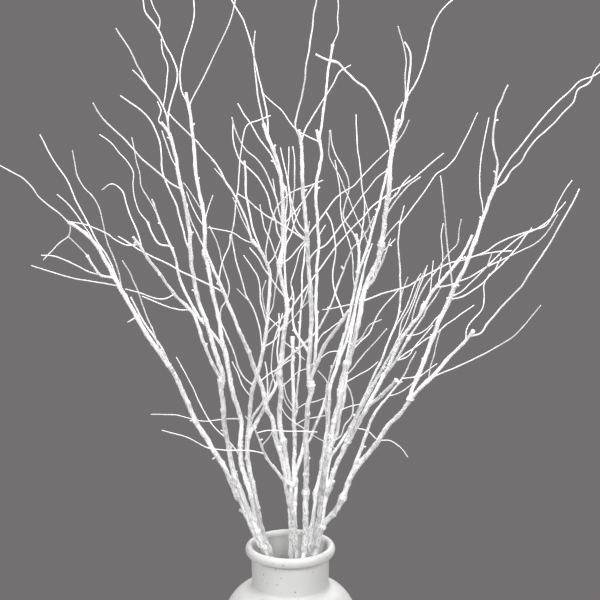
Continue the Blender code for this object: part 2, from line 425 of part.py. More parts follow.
def vase_profile():
    """Outline of the wall, from the middle of the underside round the lip to the floor."""
    lip_level = VASE_HEIGHT - LIP_HALF_HEIGHT
    shoulder = BODY_RADIUS - NECK_RADIUS
    belly = (BODY_RADIUS - BELLY_DEPTH, BODY_LEVEL)
    foot_angle = math.degrees(math.asin(BODY_LEVEL / BELLY_DROP))
    floor_angle = math.degrees(math.asin((BODY_LEVEL - FLOOR) / (BELLY_DROP - WALL)))
    outside = arc(belly, (BELLY_DEPTH, BELLY_DROP), -foot_angle, 0, CURVE_STEPS)
    outside += arc((NECK_RADIUS, BODY_LEVEL), (shoulder, NECK_LEVEL - BODY_LEVEL), 0, 90, CURVE_STEPS)[1:]
    lip = arc((LIP_RADIUS, lip_level), (LIP_HALF_WIDTH, LIP_HALF_HEIGHT), -120, 200, LIP_STEPS)
    inner_neck = NECK_RADIUS - WALL
    inside = [(inner_neck, lip_level - LIP_HALF_HEIGHT - WALL)]
    inside += arc((inner_neck, BODY_LEVEL), (shoulder, NECK_LEVEL - WALL - BODY_LEVEL), 90, 0, CURVE_STEPS)
    inside += arc(belly, (BELLY_DEPTH - WALL, BELLY_DROP - WALL), 0, -floor_angle, CURVE_STEPS)[1:]
    return [(0.0, 0.0)] + outside + lip + inside + [(0.0, FLOOR)]


def build_vase(material):
    bm = bmesh.new()
    corners = [bm.verts.new((radius, 0.0, level)) for radius, level in vase_profile()]
    edges = [bm.edges.new(pair) for pair in zip(corners, corners[1:])]
    bmesh.ops.spin(bm, geom=corners + edges, cent=(0, 0, 0), axis=(0, 0, 1), dvec=(0, 0, 0),
                   angle=2 * math.pi, steps=VASE_SIDES, use_merge=True, use_duplicate=False)
    bmesh.ops.remove_doubles(bm, verts=bm.verts, dist=0.00001)
    bmesh.ops.recalc_face_normals(bm, faces=bm.faces)
    vase = place_object("vase", bm, material)
    vase.data.shade_smooth()
    vase.data.set_sharp_from_angle(angle=math.radians(40))
    return vase


def read_route(text):
    """The pairs of X and Z of a route, in metres."""
    return numpy.array([[float(number) / 1000 for number in pair.split(",")] for pair in text.split()])


def spaced_curve(points, spacing):
    """Evenly spaced points on a smooth curve through the given ones."""
    padded = numpy.vstack([2 * points[0] - points[1], points, 2 * points[-1] - points[-2]])
    fractions = numpy.linspace(0.0, 1.0, 9)[:-1, None]
    pieces = []
    for before, start, end, after in zip(padded, padded[1:], padded[2:], padded[3:]):
        bend = 2 * before - 5 * start + 4 * end - after
        twist = 3 * (start - end) + after - before
        pieces.append(start + 0.5 * fractions * (end - before + fractions * (bend + fractions * twist)))
    dense = numpy.vstack(pieces + [points[-1:]])
    reached = lengths_along(dense)
    count = max(1, round(reached[-1] / spacing))
    wanted = numpy.linspace(0.0, reached[-1], count + 1)
    return numpy.stack([numpy.interp(wanted, reached, column) for column in dense.T], axis=1)


def lengths_along(points):
    steps = numpy.linalg.norm(numpy.diff(points, axis=0), axis=1)
    return numpy.concatenate([[0.0], numpy.cumsum(steps)])


def nearest_place(limbs, point):
    """The limb nearest to a point of the drawing, and the length along it."""
    best = (math.inf, None, 0.0)
    for limb in limbs:
        starts = limb["front"][:-1]
        spans = limb["front"][1:] - starts
        shares = numpy.einsum("ij,ij->i", point - starts, spans) / numpy.einsum("ij,ij->i", spans, spans)
        shares = numpy.clip(shares, 0.0, 1.0)
        distances = numpy.linalg.norm(starts + spans * shares[:, None] - point, axis=1)
        nearest = int(distances.argmin())
        if distances[nearest] < best[0]:
            reached = limb["along"]
            place = reached[nearest] + shares[nearest] * (reached[nearest + 1] - reached[nearest])
            best = (distances[nearest], limb, place)
    return best[1], best[2]


def draw_limbs():
    """Every limb of every stem as it is drawn, with its depth still straight."""
    limbs = []
    for name, stem in STEMS.items():
        draw = random.Random(stem["seed"])
        own = []
        for root_radius, tip_radius, lean, text in stem["limbs"]:
            route = read_route(text)
            parent, place = None, 0.0
            if own:
                parent, place = nearest_place(own, route[0])
                route[0] = [numpy.interp(place, parent["along"], column) for column in parent["front"].T]
            front = spaced_curve(route, STEP)
            along = lengths_along(front)
            if lean is None:
                lean = draw.uniform(-TWIG_LEAN, TWIG_LEAN)
            radius = numpy.interp(along, [0.0, along[-1]], [root_radius, tip_radius]) / 1000 - EDGE_BLUR
            own.append({"stem": name, "front": front, "along": along, "parent": parent, "place": place,
                        "offset": lean * along + sway(along, draw), "radius": radius,
                        "start": stem["depth"] / 1000})
        limbs += own
    return limbs


def sway(along, draw):
    """Crooked growth to and from the viewer, which sets in past the limb's root."""
    total = numpy.zeros(len(along))
    for length, height in SWAYS:
        start = draw.uniform(0.0, 2 * math.pi)
        turns = 2 * math.pi * along / (length * draw.uniform(0.8, 1.2))
        total += height * (numpy.sin(start + turns) - math.sin(start))
    return total * numpy.clip(along / SWAY_START, 0.0, 1.0)


def set_depths(limbs):
    for limb in limbs:
        parent = limb["parent"]
        if parent is not None:
            limb["start"] = numpy.interp(limb["place"], parent["along"], parent["depth"])
        limb["depth"] = limb["start"] + limb["offset"]
        limb["points"] = set_back(limb["front"], limb["depth"])


def set_back(front, depth):
    """Points of the drawing moved along their sight lines to a depth behind the axis."""
    stretch = 1.0 - depth / EYE[1]
    across = EYE[0] + (front[:, 0] - EYE[0]) * stretch
    height = EYE[2] + (front[:, 1] - EYE[2]) * stretch
    return numpy.stack([across, depth, height], axis=1)


def solid_radius(radius):
    """Reach of a limb's corners: few-sided twigs are drawn a little fuller."""
    return numpy.where(radius < SLIM_LIMB, radius * TWIG_FULLNESS, radius)


def find_clashes(limbs):
    """Pairs of samples on two limbs that lie closer than the clearance, with the missing depth."""
    samples = []
    for limb in limbs:
        count = max(2, round(limb["along"][-1] / SAMPLE))
        for length in numpy.linspace(0.0, limb["along"][-1], count):
            place = [numpy.interp(length, limb["along"], column) for column in limb["points"].T]
            radius = float(solid_radius(numpy.interp(length, limb["along"], limb["radius"])))
            samples.append((Vector(place), limb, length, radius))
    tree = kdtree.KDTree(len(samples))
    for index, sample in enumerate(samples):
        tree.insert(sample[0], index)
    tree.balance()
    widest = max(sample[3] for sample in samples)
    clashes = []
    for index, (place, limb, length, radius) in enumerate(samples):
        for other_place, other_index, gap in tree.find_range(place, radius + widest + CLEARANCE):
            _, other, other_length, other_radius = samples[other_index]
            if other_index <= index or other is limb:
                continue
            near_root = min(length, other_length) < JUNCTION
            if other["stem"] == limb["stem"] and near_root:
                continue
            need = radius + other_radius + CLEARANCE
            aside = math.hypot(place.x - other_place.x, place.z - other_place.z)
            behind = place.y - other_place.y
            missing = math.sqrt(max(0.0, need * need - aside * aside)) - abs(behind)
            if gap < need and missing > 0:
                way = 1.0 if behind > 0 else -1.0
                share = other_radius / (radius + other_radius)
                clashes.append((limb, length, way * missing * share))
                clashes.append((other, other_length, -way * missing * (1 - share)))
    return clashes


def bend_clear(limbs):
    """Bend limbs towards or away from the viewer until no two of them touch."""
    for _ in range(ROUNDS):
        set_depths(limbs)
        clashes = find_clashes(limbs)
        if not clashes:
            break
        pushes = {id(limb): [] for limb in limbs}
        for limb, length, push in clashes:
            while limb is not None:
                share = min(1.0, length / RAMP)
                pushes[id(limb)].append((length, push * share))
                push *= 1 - share
                length = limb["place"]
                limb = limb["parent"] if push else None
        for limb in limbs:
            bend_limb(limb, pushes[id(limb)])
    set_depths(limbs)


def bend_limb(limb, pushes):
    if not pushes:
        return
    places, amounts = numpy.array(pushes).T
    reach = numpy.clip(1 - numpy.abs(limb["along"][:, None] - places) / BEND_WIDTH, 0.0, 1.0)
    moves = amounts * reach * reach * (3 - 2 * reach)
    total = moves.max(axis=1).clip(min=0.0) + moves.min(axis=1).clip(max=0.0)
    total[0] = 0.0
    limb["offset"] = limb["offset"] + total


def stem_line(trunk):
    """The trunk's points with the stretch that stands inside the vase."""
    mouth = trunk["points"][0]
    foot = numpy.array([mouth[0] * FOOT_SPREAD, mouth[1] * FOOT_SPREAD, FLOOR + REST_GAP])
    rise = foot + numpy.array([0.0, 0.0, STRAIGHT_CUT])
    middle = (rise + mouth) / 2
    hidden = spaced_curve(numpy.vstack([rise, middle, mouth]), HIDDEN_STEP)
    points = numpy.vstack([foot, hidden, trunk["points"][1:]])
    radius = numpy.concatenate([numpy.full(len(hidden), trunk["radius"][0]), trunk["radius"]])
    return points, radius


def bend_points(points, first, last):
    """Indexes between two points that a straight run from one to the other would miss."""
    if last - first < 2:
        return []
    run = points[last] - points[first]
    inner = points[first + 1:last] - points[first]
    aside = numpy.linalg.norm(inner - numpy.outer(inner @ run / (run @ run), run), axis=1)
    if aside.max() < STRAIGHT_ENOUGH:
        return []
    turn = first + 1 + int(aside.argmax())
    return bend_points(points, first, turn) + [turn] + bend_points(points, turn, last)


def make_tube(points, radii, sides):
    """A closed tube with flat ends along a line of points."""
    kept = [0] + bend_points(points, 0, len(points) - 1) + [len(points) - 1]
    points = points[kept]
    radii = radii[kept]
    bm = bmesh.new()
    directions = numpy.gradient(points, axis=0)
    side = Vector(directions[0]).orthogonal().normalized()
    rings = []
    for point, direction, radius in zip(points, directions, radii):
        along = Vector(direction).normalized()
        side = (side - along * side.dot(along)).normalized()
        across = along.cross(side)
        ring = []
        for corner in range(sides):
            angle = 2 * math.pi * corner / sides
            offset = side * math.cos(angle) + across * math.sin(angle)
            ring.append(bm.verts.new(Vector(point) + offset * float(radius)))
        rings.append(ring)
    for lower, upper in zip(rings, rings[1:]):
        for corner in range(sides):
            following = (corner + 1) % sides
            bm.faces.new((lower[corner], lower[following], upper[following], upper[corner]))
    bm.faces.new(list(reversed(rings[0])))
    bm.faces.new(rings[-1])
    bmesh.ops.triangulate(bm, faces=bm.faces)
    return bm


def sides_for(radius):
    if radius >= THICK_LIMB:
        return 5
    if radius >= SLIM_LIMB:
        return 4
    return 3


def build_stem(name, limbs, material):
    """One stem: its trunk, with all its limbs fused into it."""
    points, radius = stem_line(limbs[0])
    stem = place_object(name, make_tube(points, radius, sides_for(radius[0])), material)
    grown = bpy.data.collections.new(name + "_limbs")
    bpy.context.scene.collection.children.link(grown)
    for limb in limbs[1:]:
        tube = make_tube(limb["points"], solid_radius(limb["radius"]), sides_for(limb["radius"][0]))
        piece = place_object(name + "_limb", tube, material)
        bpy.context.scene.collection.objects.unlink(piece)
        grown.objects.link(piece)
    join = stem.modifiers.new("grown_together", "BOOLEAN")
    join.operation = "UNION"
    join.solver = "EXACT"
    join.operand_type = "COLLECTION"
    join.collection = grown
    bpy.context.view_layer.update()
    joined = stem.evaluated_get(bpy.context.evaluated_depsgraph_get())
    fused = bpy.data.meshes.new_from_object(joined)
    stem.modifiers.clear()
    stem.data = fused
    for piece in list(grown.objects):
        bpy.data.objects.remove(piece, do_unlink=True)
    bpy.data.collections.remove(grown)
    return stem


def build():
    clear_scene()
    build_vase(make_material("white_speckled_glaze", (0.80, 0.80, 0.79), 0.35))
    limbs = draw_limbs()
    bend_clear(limbs)
    for name in STEMS:
        own = [limb for limb in limbs if limb["stem"] == name]
        build_stem(name, own, make_material(name + "_white", (0.90, 0.90, 0.89), 0.65))


build()
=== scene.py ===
import json
import math
import random

import bmesh
import bpy
import numpy as np
from mathutils import Matrix, Vector, kdtree, noise

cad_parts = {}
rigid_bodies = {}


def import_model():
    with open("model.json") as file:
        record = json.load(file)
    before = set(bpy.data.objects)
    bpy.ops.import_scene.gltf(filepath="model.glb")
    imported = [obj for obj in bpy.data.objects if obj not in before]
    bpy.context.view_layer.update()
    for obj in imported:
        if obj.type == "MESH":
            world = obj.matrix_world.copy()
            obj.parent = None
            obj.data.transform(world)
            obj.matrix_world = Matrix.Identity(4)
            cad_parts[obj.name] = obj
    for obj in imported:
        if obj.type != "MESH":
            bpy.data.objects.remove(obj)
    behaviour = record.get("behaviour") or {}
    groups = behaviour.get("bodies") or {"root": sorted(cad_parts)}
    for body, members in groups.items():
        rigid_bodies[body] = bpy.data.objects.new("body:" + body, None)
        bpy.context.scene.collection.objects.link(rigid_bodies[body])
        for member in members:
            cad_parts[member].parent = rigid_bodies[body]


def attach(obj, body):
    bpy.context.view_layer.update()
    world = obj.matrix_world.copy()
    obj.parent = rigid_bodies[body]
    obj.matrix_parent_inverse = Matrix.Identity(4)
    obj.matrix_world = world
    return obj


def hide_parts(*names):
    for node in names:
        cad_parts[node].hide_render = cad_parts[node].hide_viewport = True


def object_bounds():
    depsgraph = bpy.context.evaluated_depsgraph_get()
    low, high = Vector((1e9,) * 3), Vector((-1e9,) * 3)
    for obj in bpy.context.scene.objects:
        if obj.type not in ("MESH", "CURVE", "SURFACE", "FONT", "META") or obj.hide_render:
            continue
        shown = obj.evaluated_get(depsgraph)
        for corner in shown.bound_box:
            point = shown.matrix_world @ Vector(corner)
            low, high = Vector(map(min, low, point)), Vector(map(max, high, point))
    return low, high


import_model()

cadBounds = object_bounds()
scene = bpy.context.scene
scene.view_settings.view_transform = "Standard"

# White willow stems in a speckled vase. Metres throughout, +Z up, and the viewer is on the -Y side.

photoCamera = {
    "eye": (0.0108, -1.75665, 0.8815),
    "aim": (0.0108, 0.0, 0.4888),
    "lens": 100.0,
    "sensor": 36.0,
}


def pointAt(holder, target):
    sight = Vector(target) - holder.location
    holder.rotation_euler = sight.to_track_quat("-Z", "Y").to_euler()


def addCamera(settings):
    lens = bpy.data.cameras.new("photoCamera")
    lens.lens = settings["lens"]
    lens.sensor_width = settings["sensor"]
    holder = bpy.data.objects.new("photoCamera", lens)
    scene.collection.objects.link(holder)
    holder.location = settings["eye"]
    pointAt(holder, settings["aim"])
    scene.camera = holder


addCamera(photoCamera)
print("camera set")


# Materials. The groups work in millimetres, so every place is scaled up before it goes in.

glaze = {
    "white": (0.58, 0.58, 0.575, 1.0),
    "shade": (0.51, 0.51, 0.505, 1.0),
    "shadeShare": 0.45,
    "cloud": {"Size": 16.0, "Width": 0.02},
    "speck": (0.10, 0.095, 0.09, 1.0),
    "largeSpecks": {"Cell": 7.0, "Reach": 0.95},
    "largeShare": 0.85,
    "largePit": -0.35,
    "smallSpecks": {"Cell": 3.1, "Reach": 0.34},
    "smallShare": 0.5,
    "bareClay": (0.52, 0.47, 0.41, 1.0),
    "bareLevel": 0.0022,
    "bareEdge": (0.0012, 0.0006),  # above bareLevel, where bare clay starts and where it is full
    "bareRagged": 0.0012,
    "roughness": (0.46, 0.58),
    "coat": 0.10,
    "coatRoughness": 0.2,
    "bump": {"Strength": 0.22, "Distance": 0.0004},
}

paint = {
    "white": (0.94, 0.94, 0.935, 1.0),
    "dull": (0.68, 0.68, 0.685, 1.0),
    "mottleShare": 0.9,
    "toneShare": 0.5,
    # crease is painted shade: the grey laid into the creases of the paint, where shade falls.
    "crease": (0.30, 0.30, 0.305, 1.0),
    "creaseWidth": 0.045,
    "grain": {"Size": 0.9, "Width": 0.08},
    "grainRelief": 0.2,
    # fineCreaseShadeShare is how much painted shade goes into the fine grain's creases, more of it lower
    # down.
    "fineCreaseShadeShare": 0.14,
    "smoothFrom": 0.54,
    "wrinkledTo": 0.24,
    "roughness": (0.40, 0.72),
    "bumpDistance": 0.0006,
}

# The painted shade in the creases, and the mottle, are weighed for the smooth upper part and then for the
# wrinkled lower part.
limbSkin = {"size": 4.0, "stretch": 0.3, "strength": 0.7, "creases": (0.4, 0.8)}
twigSkin = {"size": 2.4, "stretch": 0.5, "strength": 0.14, "creases": (0.22, 0.16)}

creaseLook = {
    "fineScale": 3.7,
    "fineShare": 0.35,
    "wideScale": 0.31,
    "mottle": (0.36, 0.66),
    "depth": -0.3,
}

speckLook = {
    "wobble": (0.9, 0.9, 0.9),
    "leastSize": 0.25,
    "edge": (1.0, 0.55),
}


def feed(tree, node, inputs):
    for name, value in inputs.items():
        if isinstance(value, bpy.types.NodeSocket):
            tree.links.new(value, node.inputs[name])
        else:
            node.inputs[name].default_value = value
    return node


def put(tree, kind, inputs, **settings):
    node = tree.nodes.new(kind)
    for name, value in settings.items():
        setattr(node, name, value)
    return feed(tree, node, inputs)


def mathOf(tree, operation, *values):
    return put(tree, "ShaderNodeMath", dict(enumerate(values)), operation=operation).outputs[0]


def product(tree, first, second):
    return mathOf(tree, "MULTIPLY", first, second)


def greater(tree, first, second):
    return mathOf(tree, "MAXIMUM", first, second)


def softStep(tree, value, low, high):
    return put(tree, "ShaderNodeMapRange", {"Value": value, "From Min": low, "From Max": high},
               interpolation_type="SMOOTHSTEP").outputs["Result"]


def mixed(tree, share, first, second):
    return put(tree, "ShaderNodeMix", {0: share, 6: first, 7: second}, data_type="RGBA").outputs[2]


def between(tree, share, pair):
    ends = {"Value": share, "To Min": pair[0], "To Max": pair[1]}
    return put(tree, "ShaderNodeMapRange", ends).outputs["Result"]


def startGroup(name, inputs, outputs):
    group = bpy.data.node_groups.new(name, "ShaderNodeTree")
    for title, kind, value in inputs:
        socket = group.interface.new_socket(title, in_out="INPUT", socket_type=kind)
        socket.default_value = value
    for title in outputs:
        group.interface.new_socket(title, in_out="OUTPUT", socket_type="NodeSocketFloat")
    return group, put(group, "NodeGroupInput", {}).outputs, put(group, "NodeGroupOutput", {})


def makeCrumple(look):  # creases like those of thin paper pressed round a twig
    group, given, out = startGroup(
        "crumple",
        [("Place", "NodeSocketVector", (0, 0, 0)), ("Size", "NodeSocketFloat", 2.5),
         ("Width", "NodeSocketFloat", 0.05)],
        ["Crease", "Mottle", "Height"])
    place = given["Place"]
    density = mathOf(group, "DIVIDE", 1.0, given["Size"])
    broad = put(group, "ShaderNodeTexNoise", {"Vector": place, "Scale": density, "Detail": 4.0,
                                              "Roughness": 0.55, "Distortion": 0.7}).outputs["Fac"]
    closer = product(group, density, look["fineScale"])
    fine = put(group, "ShaderNodeTexNoise", {"Vector": place, "Scale": closer, "Detail": 3.0,
                                             "Roughness": 0.6}).outputs["Fac"]
    wider = product(group, density, look["wideScale"])
    wide = put(group, "ShaderNodeTexNoise", {"Vector": place, "Scale": wider, "Detail": 2.0}).outputs["Fac"]
    ridge = mathOf(group, "ABSOLUTE", mathOf(group, "SUBTRACT", broad, 0.5))
    crease = softStep(group, ridge, given["Width"], 0.0)
    raised = mathOf(group, "MULTIPLY_ADD", fine, look["fineShare"], broad)
    height = mathOf(group, "MULTIPLY_ADD", crease, look["depth"], raised)
    feed(group, out, {"Crease": crease, "Mottle": softStep(group, wide, *look["mottle"]), "Height": height})
    return group


def makeSpecks(look):  # dark grains of many sizes, seen where a cell's centre comes near the surface
    group, given, out = startGroup(
        "specks",
        [("Place", "NodeSocketVector", (0, 0, 0)), ("Cell", "NodeSocketFloat", 6.0),
         ("Reach", "NodeSocketFloat", 0.8)],
        ["Mask"])
    wobble = put(group, "ShaderNodeTexNoise", {"Vector": given["Place"], "Scale": 1.3,
                                               "Detail": 2.0}).outputs["Color"]
    place = put(group, "ShaderNodeVectorMath", {0: wobble, 1: look["wobble"], 2: given["Place"]},
                operation="MULTIPLY_ADD").outputs[0]
    density = mathOf(group, "DIVIDE", 1.0, given["Cell"])
    cells = put(group, "ShaderNodeTexVoronoi", {"Vector": place, "Scale": density}).outputs
    chance = put(group, "ShaderNodeSeparateColor", {"Color": cells["Color"]}).outputs["Red"]
    reach = product(group, given["Reach"], density)
    reach = product(group, reach, mathOf(group, "ADD", chance, look["leastSize"]))
    share = mathOf(group, "DIVIDE", cells["Distance"], reach)
    feed(group, out, {"Mask": softStep(group, share, *look["edge"])})
    return group


crumple = makeCrumple(creaseLook)
specks = makeSpecks(speckLook)


def startMaterial(name):
    material = bpy.data.materials.new(name)
    material.use_nodes = True
    return material, material.node_tree, material.node_tree.nodes["Principled BSDF"]


def inMillimetres(tree, place, stretch=1.0):
    scale = (1000.0, 1000.0, 1000.0 * stretch)
    return put(tree, "ShaderNodeVectorMath", {0: place, 1: scale}, operation="MULTIPLY").outputs[0]


def objectPlace(tree):
    here = put(tree, "ShaderNodeTexCoord", {}).outputs["Object"]
    return here, put(tree, "ShaderNodeSeparateXYZ", {"Vector": here}).outputs["Z"]


def useGroup(tree, group, inputs):
    return feed(tree, put(tree, "ShaderNodeGroup", {}, node_tree=group), inputs).outputs


def addBump(tree, shader, height, amounts):
    bump = put(tree, "ShaderNodeBump", {"Height": height, **amounts})
    feed(tree, shader, {"Normal": bump.outputs["Normal"]})


def makeGlaze(name, look):
    material, tree, shader = startMaterial(name)
    here, level = objectPlace(tree)
    place = inMillimetres(tree, here)
    cloud = useGroup(tree, crumple, {"Place": place, **look["cloud"]})
    large = useGroup(tree, specks, {"Place": place, **look["largeSpecks"]})["Mask"]
    small = useGroup(tree, specks, {"Place": place, **look["smallSpecks"]})["Mask"]
    body = mixed(tree, product(tree, cloud["Mottle"], look["shadeShare"]), look["white"], look["shade"])
    fleck = greater(tree, product(tree, large, look["largeShare"]), product(tree, small, look["smallShare"]))
    ragged = mathOf(tree, "MULTIPLY_ADD", cloud["Height"], look["bareRagged"], level)
    bare = softStep(tree, ragged, *(look["bareLevel"] + edge for edge in look["bareEdge"]))
    colour = mixed(tree, bare, mixed(tree, fleck, body, look["speck"]), look["bareClay"])
    matt = greater(tree, greater(tree, cloud["Mottle"], large), bare)
    feed(tree, shader, {"Base Color": colour, "Roughness": between(tree, matt, look["roughness"]),
                        "Coat Weight": look["coat"], "Coat Roughness": look["coatRoughness"]})
    height = mathOf(tree, "MULTIPLY_ADD", large, look["largePit"], cloud["Height"])
    addBump(tree, shader, height, look["bump"])
    return material


def makePaint(name, look, surface):
    material, tree, shader = startMaterial(name)
    limb = put(tree, "ShaderNodeAttribute", {}, attribute_name="barkPlace").outputs["Vector"]
    tone = put(tree, "ShaderNodeAttribute", {}, attribute_name="limbTone").outputs["Fac"]
    # low grows towards the bottom of the bunch and strengthens the painted crease shade there.
    low = softStep(tree, objectPlace(tree)[1], look["smoothFrom"], look["wrinkledTo"])
    skin = useGroup(tree, crumple, {"Place": inMillimetres(tree, limb, surface["stretch"]),
                                    "Size": surface["size"], "Width": look["creaseWidth"]})
    grain = useGroup(tree, crumple, {"Place": inMillimetres(tree, limb), **look["grain"]})
    # The crease masks give painted shade: grey laid into the creases of the skin and of the fine grain,
    # where shade falls.
    amount = between(tree, low, surface["creases"])
    creaseShade = product(tree, skin["Crease"], amount)
    dulled = product(tree, product(tree, skin["Mottle"], amount), look["mottleShare"])
    dulled = greater(tree, dulled, product(tree, tone, look["toneShare"]))
    # This is painted shade in the fine grain's creases, stronger lower down.
    fineCreaseShade = product(tree, product(tree, grain["Crease"], low), look["fineCreaseShadeShare"])
    body = mixed(tree, dulled, look["white"], look["dull"])
    feed(tree, shader, {"Base Color": mixed(tree, greater(tree, creaseShade, fineCreaseShade), body, look["crease"]),
                        "Roughness": between(tree, grain["Mottle"], look["roughness"])})
    height = mathOf(tree, "MULTIPLY_ADD", grain["Height"], look["grainRelief"], skin["Height"])
    addBump(tree, shader, height, {"Strength": surface["strength"], "Distance": look["bumpDistance"]})
    return material


vaseGlaze = makeGlaze("speckledGlaze", glaze)
limbPaint = makePaint("wrinkledPaint", paint, limbSkin)
twigPaint = makePaint("twigPaint", paint, twigSkin)
print("materials made")


vase = {
    "height": 0.210,
    "bodyRadius": 0.081,
    "bodyLevel": 0.092,
    "bellyDepth": 0.045,
    "bellyDrop": 0.104,
    "neckRadius": 0.043,
    "neckLevel": 0.160,
    "wall": 0.005,
    "floor": 0.007,
    "lipRadius": 0.0457,
    "lipHalfWidth": 0.0044,
    "lipHalfHeight": 0.0058,
    "neckFillet": 0.005,
    "footRound": 0.0012,
    "shoulderSweep": 80,
    "lipSweep": (-120, 200),
    "sides": 128,
    "curveSteps": 20,
    "lipSteps": 26,
    "neckSteps": 6,
    "footSteps": 4,
    "mergeDistance": 0.00001,
    "sharpAngle": 50,
}


def arc(centre, radii, start, end, steps):
    (x, z), (width, height) = centre, radii
    angles = np.radians(np.linspace(start, end, steps + 1))
    return [(x + width * math.cos(angle), z + height * math.sin(angle)) for angle in angles]


def softCorner(start, corner, end, steps):
    points = []
    for share in np.linspace(0.0, 1.0, steps + 1):
        first = (1 - share) ** 2
        second = 2 * share * (1 - share)
        third = share ** 2
        points.append(tuple(first * a + second * b + third * c for a, b, c in zip(start, corner, end)))
    return points


def vaseOutline(v):
    lipLevel = v["height"] - v["lipHalfHeight"]
    shoulder = v["bodyRadius"] - v["neckRadius"]
    rise = v["neckLevel"] - v["bodyLevel"]
    belly = (v["bodyRadius"] - v["bellyDepth"], v["bodyLevel"])
    footAngle = math.degrees(math.asin(v["bodyLevel"] / v["bellyDrop"]))
    floorAngle = math.degrees(math.asin((v["bodyLevel"] - v["floor"]) / (v["bellyDrop"] - v["wall"])))
    steps = v["curveSteps"]
    outside = arc(belly, (v["bellyDepth"], v["bellyDrop"]), -footAngle, 0, steps)
    footCorner, above = outside[:2]
    foot = softCorner((footCorner[0] - v["footRound"], 0.0), footCorner, above, v["footSteps"])[:-1]
    outside = foot + outside[1:]
    outside += arc((v["neckRadius"], v["bodyLevel"]), (shoulder, rise), 0, v["shoulderSweep"], steps)[1:]
    neckTop = (v["neckRadius"], v["neckLevel"] + v["neckFillet"])
    neck = softCorner(outside[-1], (v["neckRadius"], v["neckLevel"]), neckTop, v["neckSteps"])[1:]
    lipSize = (v["lipHalfWidth"], v["lipHalfHeight"])
    lip = arc((v["lipRadius"], lipLevel), lipSize, *v["lipSweep"], v["lipSteps"])
    innerNeck = v["neckRadius"] - v["wall"]
    inside = [(innerNeck, lipLevel - v["lipHalfHeight"] - v["wall"])]
    inside += arc((innerNeck, v["bodyLevel"]), (shoulder, rise - v["wall"]), 90, 0, steps)
    hollow = (v["bellyDepth"] - v["wall"], v["bellyDrop"] - v["wall"])
    inside += arc(belly, hollow, 0, -floorAngle, steps)[1:]
    return [(0.0, 0.0)] + outside + neck + lip + inside + [(0.0, v["floor"])]


def placeObject(name, bm, materials):
    mesh = bpy.data.meshes.new(name)
    bm.to_mesh(mesh)
    bm.free()
    for material in materials:
        mesh.materials.append(material)
    mesh.shade_smooth()
    piece = bpy.data.objects.new(name, mesh)
    scene.collection.objects.link(piece)
    return piece


def buildVase(v):
    bm = bmesh.new()
    corners = [bm.verts.new((radius, 0.0, level)) for radius, level in vaseOutline(v)]
    edges = [bm.edges.new(pair) for pair in zip(corners, corners[1:])]
    bmesh.ops.spin(bm, geom=corners + edges, cent=(0, 0, 0), axis=(0, 0, 1), dvec=(0, 0, 0),
                   angle=2 * math.pi, steps=v["sides"], use_merge=True, use_duplicate=False)
    bmesh.ops.remove_doubles(bm, verts=bm.verts, dist=v["mergeDistance"])
    bmesh.ops.recalc_face_normals(bm, faces=bm.faces)
    piece = placeObject("speckledVase", bm, [vaseGlaze])
    piece.data.set_sharp_from_angle(angle=math.radians(v["sharpAngle"]))
    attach(piece, "root")
    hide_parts("vase")


buildVase(vase)
print("vase turned")


# How the stems grow. These values place every limb where its solid is, so they follow the model.

growth = {
    "eye": (0.011, -1.757, 0.881),
    "step": 0.0135,
    "footGap": 0.0003,
    "footSpread": 0.85,
    "straightCut": 0.012,
    "hiddenStep": 0.0405,
    "curveCuts": 8,
    "twigLean": 0.55,
    "sways": ((0.180, 0.0060), (0.075, 0.0020)),  # length and height of each wave
    "swayStretch": (0.8, 1.2),
    "swayStart": 0.080,
    "edgeBlur": 0.0004,
    "slimLimb": 0.0010,
    "twigFullness": 1.2,
    "sample": 0.002,
    "clearance": 0.0013,
    "junction": 0.026,
    "ramp": 0.040,
    "bendWidth": 0.055,
    "rounds": 140,
}


def readRoute(text):
    return np.array([[float(number) / 1000 for number in pair.split(",")] for pair in text.split()])


def lengthsAlong(points):
    steps = np.linalg.norm(np.diff(points, axis=0), axis=1)
    return np.concatenate([[0.0], np.cumsum(steps)])


def blended(length, reached, rows):  # the row that belongs to a length, between two given ones
    return np.array([np.interp(length, reached, column) for column in rows.T])


def spacedCurve(points, spacing):
    padded = np.vstack([2 * points[0] - points[1], points, 2 * points[-1] - points[-2]])
    fractions = np.linspace(0.0, 1.0, growth["curveCuts"] + 1)[:-1, None]
    pieces = []
    for before, start, end, after in zip(padded, padded[1:], padded[2:], padded[3:]):
        bend = 2 * before - 5 * start + 4 * end - after
        twist = 3 * (start - end) + after - before
        pieces.append(start + 0.5 * fractions * (end - before + fractions * (bend + fractions * twist)))
    dense = np.vstack(pieces + [points[-1:]])
    reached = lengthsAlong(dense)
    count = max(1, round(reached[-1] / spacing))
    wanted = np.linspace(0.0, reached[-1], count + 1)
    return np.stack([np.interp(wanted, reached, column) for column in dense.T], axis=1)


def nearestPlace(limbs, point):
    best = (math.inf, None, 0.0)
    for limb in limbs:
        starts = limb["front"][:-1]
        spans = limb["front"][1:] - starts
        shares = np.einsum("ij,ij->i", point - starts, spans) / np.einsum("ij,ij->i", spans, spans)
        shares = np.clip(shares, 0.0, 1.0)
        distances = np.linalg.norm(starts + spans * shares[:, None] - point, axis=1)
        nearest = int(distances.argmin())
        if distances[nearest] < best[0]:
            reached = limb["along"]
            place = reached[nearest] + shares[nearest] * (reached[nearest + 1] - reached[nearest])
            best = (distances[nearest], limb, place)
    return best[1], best[2]


def sway(along, draw):
    total = np.zeros(len(along))
    for length, height in growth["sways"]:
        start = draw.uniform(0.0, 2 * math.pi)
        turns = 2 * math.pi * along / (length * draw.uniform(*growth["swayStretch"]))
        total += height * (np.sin(start + turns) - math.sin(start))
    return total * np.clip(along / growth["swayStart"], 0.0, 1.0)


